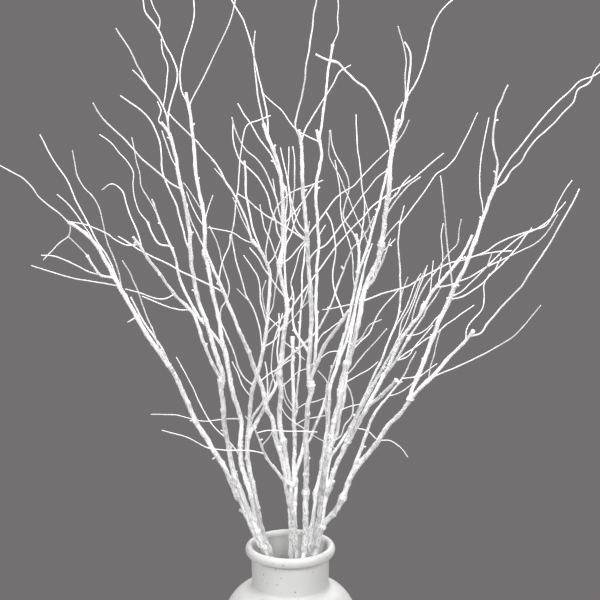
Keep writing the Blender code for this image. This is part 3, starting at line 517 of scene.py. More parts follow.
def drawLimbs():
    limbs = []
    for name, stem in stemRoutes.items():
        draw = random.Random(stem["seed"])
        own = []
        for rootRadius, tipRadius, lean, text in stem["limbs"]:
            route = readRoute(text)
            parent, place = None, 0.0
            if own:
                parent, place = nearestPlace(own, route[0])
                route[0] = blended(place, parent["along"], parent["front"])
            front = spacedCurve(route, growth["step"])
            along = lengthsAlong(front)
            if lean is None:
                lean = draw.uniform(-growth["twigLean"], growth["twigLean"])
            radius = np.interp(along, [0.0, along[-1]], [rootRadius, tipRadius]) / 1000 - growth["edgeBlur"]
            own.append({"stem": name, "front": front, "along": along, "parent": parent, "place": place,
                        "offset": lean * along + sway(along, draw), "radius": radius,
                        "start": stem["depth"] / 1000})
        limbs += own
    return limbs


def setDepths(limbs):
    eye = growth["eye"]
    for limb in limbs:
        parent = limb["parent"]
        if parent is not None:
            limb["start"] = np.interp(limb["place"], parent["along"], parent["depth"])
        limb["depth"] = limb["start"] + limb["offset"]
        stretch = 1.0 - limb["depth"] / eye[1]
        across = eye[0] + (limb["front"][:, 0] - eye[0]) * stretch
        height = eye[2] + (limb["front"][:, 1] - eye[2]) * stretch
        limb["points"] = np.stack([across, limb["depth"], height], axis=1)


def solidRadius(radius):
    return np.where(radius < growth["slimLimb"], radius * growth["twigFullness"], radius)


def findClashes(limbs):
    samples = []
    for limb in limbs:
        count = max(2, round(limb["along"][-1] / growth["sample"]))
        for length in np.linspace(0.0, limb["along"][-1], count):
            place = blended(length, limb["along"], limb["points"])
            radius = float(solidRadius(np.interp(length, limb["along"], limb["radius"])))
            samples.append((Vector(place), limb, length, radius))
    tree = kdtree.KDTree(len(samples))
    for index, sample in enumerate(samples):
        tree.insert(sample[0], index)
    tree.balance()
    widest = max(sample[3] for sample in samples)
    clashes = []
    for index, (place, limb, length, radius) in enumerate(samples):
        for otherPlace, otherIndex, gap in tree.find_range(place, radius + widest + growth["clearance"]):
            _, other, otherLength, otherRadius = samples[otherIndex]
            if otherIndex <= index or other is limb:
                continue
            if other["stem"] == limb["stem"] and min(length, otherLength) < growth["junction"]:
                continue
            need = radius + otherRadius + growth["clearance"]
            aside = math.hypot(place.x - otherPlace.x, place.z - otherPlace.z)
            behind = place.y - otherPlace.y
            missing = math.sqrt(max(0.0, need * need - aside * aside)) - abs(behind)
            if gap < need and missing > 0:
                way = 1.0 if behind > 0 else -1.0
                share = otherRadius / (radius + otherRadius)
                clashes.append((limb, length, way * missing * share))
                clashes.append((other, otherLength, -way * missing * (1 - share)))
    return clashes


def bendLimb(limb, pushes):
    if not pushes:
        return
    places, amounts = np.array(pushes).T
    reach = np.clip(1 - np.abs(limb["along"][:, None] - places) / growth["bendWidth"], 0.0, 1.0)
    moves = amounts * reach * reach * (3 - 2 * reach)
    total = moves.max(axis=1).clip(min=0.0) + moves.min(axis=1).clip(max=0.0)
    total[0] = 0.0
    limb["offset"] = limb["offset"] + total


def bendClear(limbs):  # limbs move towards or away from the viewer until no two touch
    for _ in range(growth["rounds"]):
        setDepths(limbs)
        clashes = findClashes(limbs)
        if not clashes:
            break
        pushes = {id(limb): [] for limb in limbs}
        for limb, length, push in clashes:
            while limb is not None:
                share = min(1.0, length / growth["ramp"])
                pushes[id(limb)].append((length, push * share))
                push *= 1 - share
                length = limb["place"]
                limb = limb["parent"] if push else None
        for limb in limbs:
            bendLimb(limb, pushes[id(limb)])
    setDepths(limbs)


# Each stem has the depth at which it leaves the mouth, in millimetres behind the axis. Its limbs
# follow: radius at the root and at the tip in millimetres, lean away from the viewer (None is
# drawn by the stem's seed), and the route as pairs of X and Z in millimetres, drawn on the upright
# plane through the vase's axis as seen from the eye. The radii hold the photo's soft edge, which is
# taken off them. The first limb is the trunk, and every other one grows from the nearest limb
# before it.
stemRoutes = {
    "stem_outer_left": {"depth": 2, "seed": 3, "limbs": [
        (3.5, 2.3, 0.10, """-29,197 -37,216 -43,230 -49,245 -54,258 -63,275 -72,298 -82,314 -91,331
            -97,340 -106,357 -114,377 -122,397 -130,412 -138,425 -146,436 -155,450 -165,468
            -174,485 -182,500 -190,516 -200,535 -207,548 -213,556 -222,564 -230,570 -237,574"""),
        (1.1, 0.9, -0.30, """-237,574 -250,587 -260,594 -268,602 -274,611 -280,619 -290,625 -300,631
            -312,638 -328,650 -338,662"""),
        (1.1, 1.0, 0.40, "-235,571 -236,563 -238,558 -250,549 -256,542 -265,533"),
        (1.8, 1.5, -0.35, "-196,510 -204,516 -209,522 -213,530 -218,538"),
        (1.0, 0.9, -0.45, "-218,538 -224,545 -230,551 -237,558"),
        (1.1, 1.0, -0.15, "-193,508 -212,518 -222,523 -240,532 -250,536 -258,538 -267,538"),
        (1.1, 0.9, 0.45, "-186,503 -204,508 -225,511 -238,514 -258,520 -278,527"),
        (1.2, 1.0, 0.50, """-182,502 -192,528 -198,540 -205,550 -210,560 -215,571 -221,583 -228,597
            -231,606 -236,617 -240,625 -248,636 -253,645 -264,668"""),
        (1.1, 0.9, -0.40, """-180,498 -185,522 -190,537 -195,550 -198,562 -200,575 -203,588 -208,599
            -215,607 -223,617 -226,625 -230,651"""),
        (1.0, 0.9, 0.20, "-206,548 -211,556 -215,562 -222,573 -232,588 -240,597 -248,604"),
        (1.2, 1.0, -0.50, "-140,430 -148,453 -153,465 -158,477 -160,487 -168,508 -173,520 -180,532"),
        (1.5, 1.3, 0.15, "-130,412 -138,433 -146,445 -155,459 -163,473 -172,492"),
        (1.3, 1.2, 0.10, "-80,312 -86,309"),
        (1.3, 1.1, 0.10, "-166,470 -176,464"),
        (2.2, 2.0, -0.10, "-48,248 -57,250"),
    ]},
    "stem_left_knotted": {"depth": -9, "seed": 5, "limbs": [
        (3.6, 1.9, -0.20, """-26,197 -34,215 -40,232 -45,245 -50,257 -54,270 -59,282 -63,295 -66,310
            -68,325 -71,340 -73,355 -73,370 -75,385 -76,393 -74,401 -75,413 -80,425 -84,440
            -88,455 -92,468 -97,480 -100,492 -102,505 -105,520 -106,532 -107,545 -107,560
            -109,575 -111,590 -114,605 -117,618 -119,630 -121,645 -124,658 -127,668 -131,675
            -136,681"""),
        (2.2, 1.7, -0.38, """-75,399 -82,413 -88,425 -92,436 -97,450 -101,464 -105,474 -110,480
            -117,487 -123,493 -128,499 -133,507 -140,517 -147,527 -153,535 -160,547 -168,558"""),
        (1.1, 0.9, 0.30, "-108,478 -120,478 -130,481 -140,484 -150,489 -160,493"),
        (1.1, 0.9, -0.50, "-126,494 -134,490 -142,490 -150,492 -160,496 -170,499 -178,501"),
        (1.1, 0.9, -0.25, """-162,550 -170,550 -177,549 -183,551 -190,558 -197,562 -205,566 -215,570
            -225,573 -234,574"""),
        (1.1, 0.9, 0.35, """-159,545 -161,556 -165,568 -170,580 -174,592 -176,603 -181,611 -188,615
            -195,614 -200,609"""),
        (1.2, 1.0, -0.45, """-115,609 -125,615 -132,620 -140,628 -150,636 -160,645 -166,653 -172,660
            -180,668 -190,677 -201,690 -207,701"""),
        (1.3, 1.0, 0.30, """-107,541 -112,555 -115,570 -118,580 -121,593 -125,602 -130,612 -133,622
            -136,632 -136,650 -138,662 -141,670 -146,680 -150,688 -160,696 -170,703 -178,709"""),
        (1.1, 1.0, -0.30, "-119,631 -125,642 -129,652 -132,663 -135,672"),
        (1.0, 0.9, 0.50, "-131,675 -137,677 -138,685 -136,692 -135,698 -139,703"),
        (1.2, 1.0, -0.35, """-127,668 -129,683 -131,692 -135,700 -140,709 -148,718 -151,722 -156,734
            -162,745 -167,757 -173,766 -181,779"""),
        (1.0, 0.9, 0.30, "-148,718 -155,726 -165,736"),
        (1.2, 1.0, 0.25, """-129,681 -126,700 -122,711 -119,720 -118,730 -119,740 -124,751 -130,762
            -134,772 -138,780 -144,787 -149,792 -151,800 -153,812 -158,824 -159,836"""),
        (1.0, 0.9, -0.20, "-136,777 -133,783 -135,788 -139,795 -142,803 -146,815 -148,824"),
        (0.9, 0.9, 0.55, "-133,697 -130,713 -129,725 -128,738 -129,747 -133,755 -134,768"),
    ]},
    "stem_left_inner": {"depth": 13, "seed": 7, "limbs": [
        (3.4, 2.2, 0.30, """-23,196 -31,215 -37,232 -40,250 -43,266 -48,282 -53,297 -55,311 -55,325
            -54,340 -54,355 -58,370 -61,380 -64,392 -66,403 -68,415 -70,430 -74,445 -76,460 -79,475
            -82,490 -85,505 -87,520 -91,540 -91,560 -91,575 -93,585 -95,600 -98,615 -100,630
            -101,650 -103,670 -105,690 -107,700 -109,712"""),
        (2.3, 1.4, 0.05, """-69,423 -75,440 -85,453 -95,465 -101,473 -108,487 -113,498 -118,510
            -121,525 -124,540 -128,548 -133,560 -137,570 -141,580 -144,590 -147,599"""),
        (1.4, 1.3, 0.40, "-128,548 -138,549 -144,555 -148,563 -152,574"),
        (1.0, 0.9, 0.40, """-152,574 -157,580 -162,588 -165,598 -167,610 -166,628 -168,635 -175,641
            -182,650 -190,660 -201,668"""),
        (1.0, 0.9, -0.40, """-140,578 -148,595 -153,603 -158,612 -159,625 -163,640 -165,655
            -167,665"""),
        (1.1, 0.9, 0.50, """-49,310 -58,316 -65,327 -72,334 -80,342 -88,352 -94,363 -100,375
            -104,386 -110,398 -117,412 -124,425"""),
        (1.1, 0.9, 0.60, "-54,355 -72,355 -85,353 -100,353 -118,358 -130,360 -153,360"),
        (1.1, 0.9, -0.30, "-93,585 -101,598 -107,608 -113,617"),
        (1.1, 0.9, 0.50, "-91,568 -98,578 -102,588 -107,597 -110,607"),
        (0.9, 0.9, 0.60, "-91,573 -88,585 -86,595 -82,603"),
        (1.2, 1.0, 0.35, """-107,701 -111,707 -114,715 -115,725 -115,735 -113,745 -110,757 -106,768
            -102,780 -100,790 -99,800 -100,812 -103,826 -103,838"""),
        (1.2, 1.0, -0.20, """-105,697 -101,708 -95,719 -88,732 -81,747 -74,761 -68,773 -63,783
            -60,792 -58,800 -55,813 -50,826 -48,840"""),
    ]},
    "stem_left_forked": {"depth": -2, "seed": 11, "limbs": [
        (3.2, 1.9, 0.02, """-22,198 -28,215 -33,232 -36,250 -39,268 -42,283 -46,300 -47,315 -47,330
            -45,348 -44,365 -42,385 -37,402 -33,415 -30,430 -27,445 -25,460 -24,472 -23,485
            -22,500 -21,515 -24,527 -28,536 -32,544 -37,549 -41,554"""),
        (2.7, 1.9, 0.10, "-45,333 -40,346 -33,359 -27,370 -22,381 -16,391 -12,403"),
        (1.2, 1.0, -0.25, """-41,393 -50,402 -57,415 -60,427 -66,443 -73,460 -76,470 -75,478 -70,486
            -67,492 -65,500 -67,510 -70,520 -73,530 -76,545 -79,553 -82,562 -86,570"""),
        (1.0, 0.9, 0.30, "-43,380 -52,393 -57,407 -63,420"),
        (1.2, 1.0, 0.25, """-30,430 -33,458 -37,472 -41,482 -46,490 -49,500 -52,512 -55,522 -58,532
            -60,545 -63,555 -61,565 -59,580 -58,590 -57,600 -55,610 -54,625 -53,640 -51,655
            -49,668 -47,675 -42,680 -30,684 -20,688"""),
        (1.0, 0.9, -0.30, "-44,487 -51,493 -57,501"),
        (1.2, 1.0, 0.40, """-25,461 -30,480 -32,485 -31,492 -32,500 -34,510 -36,518 -40,524 -46,531
            -50,538"""),
        (1.1, 1.0, -0.50, "-24,468 -29,486 -30,494 -29,502 -26,510"),
        (1.1, 1.0, -0.35, """-24,469 -20,477 -18,485 -16,500 -14,515 -13,527 -16,540 -20,550 -23,560
            -27,567 -29,575 -30,583 -32,593"""),
        (1.0, 0.9, None, "-26,450 -20,458 -14,463 -8,470 -3,475"),
        (1.0, 0.9, None, "-24,470 -15,462 -10,456 -6,452"),
        (1.5, 1.1, 0.10, """-41,554 -43,563 -46,575 -50,585 -55,595 -58,602 -62,608 -66,614 -70,621
            -74,630 -80,639 -90,650 -98,660 -103,665 -110,672 -118,680 -125,686 -129,692"""),
        (1.0, 0.9, -0.35, "-40,553 -44,563 -49,573 -54,585 -57,593 -61,601"),
        (1.0, 0.9, -0.30, "-69,619 -75,626 -80,632"),
        (1.2, 1.6, 0.45, """-30,540 -33,549 -38,560 -40,570 -43,583 -45,595 -47,605 -47,620 -47,632
            -48,640"""),
        (1.0, 0.9, 0.20, "-38,550 -45,551 -52,557 -57,561 -62,563 -72,565 -80,567 -88,568"),
        (1.2, 1.1, -0.45, """-25,529 -26,545 -24,555 -22,565 -20,575 -17,583 -14,590 -9,597 -4,602
            2,606 10,610 20,613 28,616 35,619"""),
        (1.1, 1.0, 0.35, "-17,393 -20,408 -20,425 -18,440 -15,452 -11,463 -8,474"),
        (2.0, 1.6, -0.45, "-45,345 -42,356 -36,364 -30,374 -24,385"),
        (1.2, 1.0, 0.20, "-27,436 -19,441 -13,452 -7,462 -2,470"),
        (1.1, 1.0, 0.30, "-24,527 -19,533 -15,541 -11,551 -9,558"),
    ]},
    "stem_centre_left": {"depth": -17, "seed": 13, "limbs": [
        (3.6, 1.7, -0.32, """8,196 5,220 3,240 0,255 -3,268 -4,283 -6,295 -8,305 -12,320 -17,335
            -18,350 -22,360 -26,368 -29,385 -33,397 -38,410 -43,425 -47,437 -52,447 -56,457
            -60,468 -64,478 -68,488 -71,497 -75,505 -79,515 -84,527 -87,535 -91,545"""),
        (1.2, 1.0, -0.30, "-90,541 -95,552 -99,560 -103,570 -108,582 -110,592"),
        (1.3, 1.1, -0.10, "-26,370 -25,385 -25,405 -27,420"),
        (2.3, 1.0, -0.45, "1,279 -5,283 -11,290 -18,299 -24,308 -29,316 -34,331 -38,341 -43,350 -49,358"),
        (1.1, 0.9, -0.30, """-28,315 -40,318 -50,319 -65,319 -80,320 -90,322 -98,325 -104,329
            -118,336 -130,339 -141,342"""),
        (1.0, 0.9, -0.40, "-31,324 -25,332 -20,339 -16,348"),
        (1.0, 0.9, -0.30, "-37,339 -30,341 -20,342 0,341 15,341 30,340"),
        (1.2, 1.0, 0.30, """-71,497 -84,504 -100,512 -110,517 -118,521 -130,528 -140,533 -150,538
            -158,541 -167,548 -175,553 -184,559"""),
        (1.0, 0.9, 0.40, "-34,397 -27,403 -20,408 -12,413 -3,420 6,425"),
        (1.1, 0.9, 0.25, "-77,510 -75,520 -73,530 -69,540 -65,549 -64,561"),
        (1.2, 1.0, -0.55, "-27,372 -21,394 -14,413"),
        (2.5, 2.3, -0.60, "-4,283 0,280 5,278"),
    ]},
    "stem_centre_tall": {"depth": 2, "seed": 17, "limbs": [
        (3.3, 2.2, -0.12, """1,198 1,225 0,250 0,270 -1,288 -4,303 -5,315 -8,330 -11,345 -12,360
            -11,375 -10,390 -12,405 -9,425 -8,440 -6,455 -4,470 -3,485 -6,500 -10,515 -11,530
            -8,542 -7,555 -8,570 -7,580 -7,590 -8,605 -9,618 -11,630 -14,641 -17,650 -20,658
            -23,665 -26,673 -28,680"""),
        (1.6, 1.0, 0.22, """-3,478 -4,495 -5,510 -6,530 -5,545 -5,560 -5,575 -4,590 -3,600 -5,611
            -9,619 -13,630 -17,640 -22,650 -30,660 -36,670 -42,681 -50,692 -55,701"""),
        (1.2, 1.0, -0.40, """-8,572 -11,582 -13,593 -15,602 -19,612 -23,622 -27,631 -31,637 -35,642
            -42,647 -49,655 -54,664 -58,674 -61,686"""),
        (1.0, 0.9, 0.20, "-15,602 -17,612 -18,621"),
        (1.2, 1.0, 0.45, """-9,552 -13,560 -13,568 -15,575 -19,582 -20,588 -22,598 -25,606 -29,614
            -33,621 -39,628 -46,634 -53,641 -57,650 -60,665 -60,680"""),
        (1.2, 1.0, -0.20, """-27,676 -30,690 -32,700 -34,712 -36,730 -37,745 -38,755 -37,765
            -36,776"""),
        (1.2, 1.0, 0.30, """-23,666 -23,680 -25,695 -27,705 -29,712 -31,722 -34,735 -37,748 -40,762
            -44,775 -48,787 -51,795 -56,800 -62,812 -66,824"""),
        (1.0, 0.9, -0.50, "-11,390 -1,399 4,405 12,410 20,413"),
        (1.0, 0.9, 0.50, "-11,372 -5,360 0,355 7,349 14,345 20,340 27,335 35,331 43,325 50,320"),
        (1.2, 1.1, 0.60, "-11,410 -14,430 -12,450 -12,474"),
        (1.2, 1.0, 0.10, """-4,470 4,483 12,495 20,506 27,516 32,523 38,531 45,542 50,548 55,554
            60,560 66,567 72,573 79,580 84,587 90,593 97,598 103,603 112,610 118,612 124,616
            130,620 138,627 148,635 155,642 163,648"""),
        (1.0, 0.9, -0.50, "-5,460 0,465 8,473 14,482 22,489 28,495"),
        (1.6, 1.0, -0.45, """-9,417 6,431 16,441 28,453 34,463 40,475 45,485 49,498 54,512 60,526
            62,535 64,541 71,550 76,555 80,560 83,566 86,572 90,580"""),
        (1.0, 0.9, 0.45, "-3,484 2,492 2,500 1,510 5,520 8,532 10,541 14,547 18,553"),
        (1.2, 1.0, -0.10, """-9,527 0,535 5,541 10,547 15,553 19,558 24,566 29,572 33,578 38,585
            42,591 47,598 52,603 58,607 64,610 70,615 74,620 80,627 87,634 94,641 104,651"""),
        (1.1, 0.9, 0.50, "-6,548 0,558 3,566 5,574 8,583 11,589"),
        (1.0, 0.9, 0.35, "-7,570 -1,578 5,585 10,591 14,597 20,606 26,615"),
        (1.0, 0.9, 0.50, "-6,560 -1,575 1,590 -1,605 -2,620 -1,640 -1,655"),
        (1.3, 1.1, -0.45, "-6,490 -12,500 -18,509 -24,518 -30,527 -36,538 -43,546"),
        (1.1, 0.9, 0.40, "-8,443 -3,440 3,435 9,429 16,422"),
        (1.2, 1.0, -0.35, "12,478 15,487 18,497 21,508"),
    ]},
    "stem_centre_back": {"depth": 21, "seed": 19, "limbs": [
        (3.0, 2.2, 0.30, """8,196 6,215 5,235 5,255 6,275 5,290 4,305 5,320 5,335 4,350 4,370
            3,400 3,420 3,448"""),
        (1.7, 1.2, 0.48, """4,352 7,365 7,380 8,395 10,410 11,420 10,445 11,465 12,480 13,500
            13,515 15,530 16,545 17,556"""),
        (2.7, 2.2, 0.45, "5,290 9,303 13,316 16,330 17,345 18,360 19,374"),
        (2.0, 2.3, 0.60, "15,321 20,328 24,338 28,348 32,358 36,368 39,378"),
        (1.0, 0.9, -0.35, "3,362 -3,370 -7,380 -9,392 -8,402"),
        (1.0, 0.9, -0.20, "3,367 -2,376 -5,386 -7,396"),
        (1.0, 0.9, 0.30, "5,347 12,353 18,354 25,356 32,358 40,359"),
        (1.0, 0.9, -0.20, "6,366 12,371 20,373 28,375 38,379"),
    ]},
    "stem_centre_right": {"depth": -27, "seed": 23, "limbs": [
        (3.5, 1.9, -0.34, """15,196 17,225 17,265 18,295 18,315 17,330 18,345 19,360 20,375 23,388
            22,398 20,410 21,425 22,440 23,460 23,480 22,500 21,515 20,530 19,545 18,560
            17,575 16,585 15,595 14,605 13,625 13,640 12,655 11,665 10,673"""),
        (2.0, 1.8, 0.05, """22,394 26,415 28,435 29,460 28,480 28,500 29,515 29,530 31,545 31,555
            30,565 30,575 29,585 28,595 28,615 30,626 33,640 34,650 33,657 30,665 28,673"""),
        (2.3, 2.0, -0.50, "22,398 28,415 33,427 37,437 43,447 49,454 54,462 59,470 64,477"),
        (1.1, 1.0, 0.30, """58,469 54,483 50,493 48,500 46,510 46,520 48,532 49,545 48,555 47,562
            44,575 38,586"""),
        (1.0, 0.9, None, "28,438 36,452 42,456 48,460 54,465"),
        (1.0, 0.9, None, "31,422 40,430 46,431 52,432 58,432"),
        (1.2, 1.0, -0.30, """20,533 25,541 29,543 33,543 38,549 43,554 47,560 52,567 57,573 60,576
            64,583 68,589 72,596 77,602 80,607 84,611 88,615 93,622 98,627 103,630"""),
        (1.2, 1.0, -0.35, """18,552 10,559 3,564 -4,568 -10,572 -18,578 -25,581 -31,584 -36,590
            -42,596 -50,601 -56,605"""),
        (1.1, 0.9, 0.30, """17,561 12,568 8,576 5,585 3,592 1,600 -1,612 -3,622 -5,632 -7,640
            -10,654"""),
        (1.1, 1.0, -0.15, """18,555 9,562 6,568 3,576 2,585 3,594 4,603 5,612 5,625 5,640 4,648
            3,655"""),
        (1.0, 0.9, -0.30, "19,558 21,567 21,575"),
        (1.0, 0.9, 0.30, "31,559 35,566 38,571"),
        (1.1, 0.9, 0.30, """12,658 15,670 20,680 26,690 32,700 36,706 40,712 45,720 50,730 55,737
            64,741"""),
        (1.2, 1.0, -0.20, """11,664 6,673 7,685 9,694 12,705 14,715 16,727 17,740 19,750 21,760
            22,770 24,780 24,790 26,798 28,810 26,822 29,834"""),
        (1.1, 0.9, -0.25, """32,660 22,664 15,669 8,672 4,676 0,681 -5,689 -10,695 -20,703
            -28,711"""),
        (1.6, 1.5, 0.20, "31,663 33,675 35,685 35,695 37,703 38,712 39,722 40,735 42,745 45,762"),
        (0.9, 0.9, 0.20, "45,762 50,773 50,785 50,795 51,808 49,820 50,830"),
        (2.0, 1.0, 0.35, "22,430 14,441 8,449 5,457 3,468 3,480 4,492 2,504"),
        (1.3, 1.2, -0.30, "18,310 22,310"),
    ]},
    "stem_right_centre": {"depth": 17, "seed": 29, "limbs": [
        (3.2, 1.9, 0.30, """22,200 24,228 27,250 29,270 33,290 36,310 39,330 41,345 42,360 43,375
            43,390 47,403 51,414 54,428 58,445 62,460 65,475 68,490 71,505 73,520 74,535 74,545
            72,553 70,561"""),
        (2.0, 1.7, 0.20, """73,518 77,530 81,540 84,550 87,560 89,570 92,580 95,590 97,600 99,610
            102,622 104,632"""),
        (1.1, 0.9, 0.40, "67,484 62,483 55,481 45,480 35,478"),
        (1.1, 0.9, -0.30, "43,390 40,398 35,405 30,410"),
        (1.1, 0.9, 0.45, """70,500 68,508 69,520 67,530 67,537 65,547 62,556 60,563 57,572 55,580
            54,590 54,600 53,610 52,618 50,628 48,641"""),
        (1.2, 1.0, -0.20, """71,557 66,560 64,568 58,578 57,583 58,590 60,598 62,605 63,612 62,620
            60,627 56,634 52,640 47,650 44,662 43,673"""),
        (1.1, 0.9, -0.45, """84,549 82,556 79,563 76,569 72,577 68,587 65,595 61,603 58,611 55,619
            51,627 47,634 43,641 41,650 42,662 42,672"""),
        (1.2, 1.0, 0.40, """74,545 77,560 78,570 79,580 80,590 79,600 77,610 76,620 75,630 74,640
            72,650 71,665 70,680 70,689"""),
        (0.9, 0.9, -0.30, "88,563 86,572 84,580 83,587 81,594 79,601"),
        (1.7, 1.0, -0.30, "41,350 39,365 39,380 41,395 45,410 50,424 54,438 58,452"),
        (2.2, 1.0, 0.35, "53,420 58,434 63,450 67,465 70,480 73,495 76,508 79,522 82,536"),
    ]},
    "stem_right_tall": {"depth": -7, "seed": 31, "limbs": [
        (3.4, 2.6, -0.14, """26,200 30,228 33,250 35,270 37,290 40,305 44,325 47,345 50,360 54,375
            56,390 58,405 62,418 66,430 70,445 73,460 76,475 78,490 81,502 85,513 91,524 96,537
            98,550 100,562 101,575 103,590 105,603 106,615 106,630 107,642 109,655 111,668
            113,678 115,684"""),
        (2.6, 1.2, 0.32, """45,322 49,331 52,342 53,354 56,366 59,378 60,390 61,402 61,414 62,425
            64,437 66,449 68,461 70,473 72,485 75,498 78,511 80,524 84,538 88,551"""),
        (1.2, 1.0, 0.35, "67,431 76,442 86,452 90,462 97,475 102,483 110,492 117,500"),
        (1.1, 0.9, -0.50, "69,438 80,450 85,460 92,464 99,467"),
        (1.2, 1.0, -0.40, "58,402 68,412 75,422 85,434 95,445 105,457"),
        (1.2, 1.0, -0.15, """78,487 90,492 100,496 110,499 118,501 125,503 133,507 140,512 148,517
            158,522 170,529 182,531 190,534 198,537 205,539 212,540 220,541 230,543 238,543"""),
        (1.0, 0.9, 0.50, "57,394 70,402 80,408 90,414 96,420"),
        (1.2, 1.1, -0.50, "45,328 54,333 60,348 67,357 69,372 66,385 61,397"),
        (1.0, 0.9, 0.45, "50,362 62,368 70,370 78,372"),
        (1.1, 1.0, -0.30, "99,550 103,556 106,563 110,568 117,575"),
        (1.0, 0.9, 0.30, "97,540 105,547 113,556"),
        (1.2, 1.0, -0.45, "102,580 108,590 112,597 117,603 122,609 128,615 134,620 139,623"),
        (1.0, 0.9, 0.10, "104,590 109,598 113,606"),
        (1.1, 0.9, 0.45, "105,596 110,600 114,605 118,612 122,618 128,624"),
        (1.2, 1.4, -0.20, """107,645 105,660 103,670 99,682 95,692 90,702 84,711 80,716 75,722
            70,724 62,730 58,736 54,741 47,744 42,744 38,747 32,750 27,752"""),
        (1.7, 1.6, 0.20, "112,668 117,678 119,690 121,700 123,707"),
        (1.2, 1.1, -0.35, "112,671 111,685 115,695 119,702"),
        (1.1, 0.9, -0.30, "122,703 121,722 121,735 122,745 120,756 117,768 113,781"),
        (1.4, 1.2, 0.35, "123,706 124,715 125,727 126,738 127,748 125,757 120,765"),
        (1.2, 1.0, 0.10, """123,707 127,713 131,720 136,730 140,741 143,752 145,763 148,775 151,785
            155,793 161,801 167,806 176,813 185,822"""),
        (1.1, 0.9, -0.40, "109,655 115,660 119,668 123,676 126,683"),
        (2.2, 0.9, -0.40, "82,500 89,510 94,520 99,531 103,542 108,556"),
    ]},
    "stem_right": {"depth": 5, "seed": 37, "limbs": [
        (3.4, 1.9, 0.14, """29,202 34,228 36,245 38,260 42,275 46,287 50,300 57,315 62,326 68,337
            74,348 80,360 86,372 93,385 100,400 106,412 112,425 118,440 124,450 131,460 138,468
            144,480 150,492 157,502 165,512 172,520 180,530 186,540 191,550 195,560"""),
        (2.2, 1.1, 0.42, """41,273 41,288 45,312 52,322 60,335 67,346 72,357 77,370 82,382 88,396
            93,408 100,423 106,440 112,455 117,470 119,490 119,510 118,530 116,545 116,555
            117,565 118,573 119,580 122,592"""),
        (1.1, 1.0, 0.30, """118,572 126,583 130,588 134,594 139,601 144,608 149,616 156,626 165,632
            173,640 179,650 185,662 190,672 195,684 198,691"""),
        (1.1, 0.9, -0.30, "119,485 122,500 127,514"),
        (1.1, 0.9, 0.45, "113,456 123,475 130,492 134,505 141,518"),
        (1.1, 0.9, 0.10, "118,440 120,462 128,478 135,495 141,512 148,527"),
        (1.2, 1.0, -0.40, """131,460 135,480 143,500 150,511 157,520 164,531 171,541 176,546
            180,552 181,565 183,577"""),
        (2.4, 2.5, -0.50, "86,370 93,375 101,383 109,391 117,399"),
        (1.0, 0.9, 0.50, "124,449 140,451 147,455 152,461 158,468 168,478"),
        (2.1, 0.9, -0.25, "104,403 113,418 121,432 128,445 135,456 142,467 148,479 156,491 163,503"),
        (2.3, 2.4, -0.45, "39,266 42,272 45,278 48,284"),
        (1.0, 0.9, 0.35, "118,448 125,462 131,478 137,495 143,512 147,524"),
        (0.9, 0.9, 0.50, "151,492 152,505 153,520 154,532"),
        (0.9, 0.9, 0.60, "160,505 161,515 164,533 164,541 162,557 162,565 164,573"),
        (1.1, 0.9, -0.20, """72,345 80,344 87,340 92,334 97,331 102,332 110,330 117,327 122,322
            126,316 130,311"""),
        (1.2, 1.0, 0.30, """183,534 195,536 205,539 212,543 220,549 230,554 238,559 246,561 254,563
            262,566 270,568 276,573 281,582 285,593 292,607 300,619"""),
        (1.2, 1.0, 0.45, """107,413 120,425 130,432 140,439 150,447 158,451 170,462 180,469 190,477
            199,483"""),
        (1.2, 1.0, 0.40, "119,416 126,424 133,433 140,443 147,451 155,461"),
        (1.3, 1.2, -0.20, "158,503 168,504 173,505 178,507"),
        (3.6, 1.2, -0.22, """62,329 66,341 71,353 76,365 83,378 90,392 97,405 103,417 109,428 114,439
            119,450"""),
    ]},
    "stem_outer_right": {"depth": -19, "seed": 41, "limbs": [
        (3.8, 1.9, -0.26, """27,197 31,215 35,230 42,239 49,247 54,255 58,264 61,271 64,281 69,292 75,302
            82,310 90,320 96,328 102,338 108,348 115,355 122,362 127,370 132,378 140,387
            148,396 155,403 163,412 172,424 180,432 188,440 194,448 199,455"""),
        (2.5, 1.1, -0.05, """68,292 73,307 77,318 82,333 85,342 88,352 92,360 97,368 105,378
            112,387 120,398 126,408 131,420 137,431"""),
        (1.0, 0.9, -0.50, "107,381 120,385 130,392 137,399"),
        (1.1, 0.9, -0.35, """154,402 165,407 175,411 190,418 200,423 210,428 222,435 232,441
            242,448 250,456 258,466 265,475 271,483"""),
        (2.6, 2.3, -0.02, """131,377 133,388 137,398 141,408 145,418 149,430 153,442 157,452
            161,465 167,478 172,488 176,500 181,511 187,522 191,532 195,545 199,556 203,569
            207,580 211,592 214,602 218,611"""),
        (1.0, 0.9, -0.40, "150,400 152,410 155,420 157,430 159,440 163,455"),
        (1.1, 0.9, -0.35, """180,509 190,512 200,518 210,524 220,530 228,533 240,539 250,544
            258,547 266,553 273,560 279,569 286,582"""),
        (1.0, 0.9, 0.40, "174,492 182,496 190,503 197,510 204,517 210,524"),
        (1.2, 1.0, 0.20, """173,489 185,492 195,498 205,505 214,514 220,522 227,527 234,535 240,542
            245,548 250,556 254,562 259,568"""),
        (1.1, 0.9, 0.50, "210,524 222,536 230,544 240,553 250,560 270,570 278,578 285,585 294,596"),
        (1.0, 0.9, -0.40, "212,525 215,536 217,541"),
        (1.0, 0.9, 0.30, "219,522 223,532 227,536"),
        (1.2, 1.0, -0.45, """176,498 174,512 173,520 171,535 169,545 168,555 167,565 166,575
            165,588 163,600 162,612 160,624"""),
        (1.0, 0.9, None, "139,403 130,405 122,401"),
        (1.0, 0.9, None, "138,400 150,410 160,418"),
        (1.0, 0.9, 0.50, """191,444 190,452 193,460 198,467 204,474 209,481 211,488 209,494 208,502
            211,510 215,518"""),
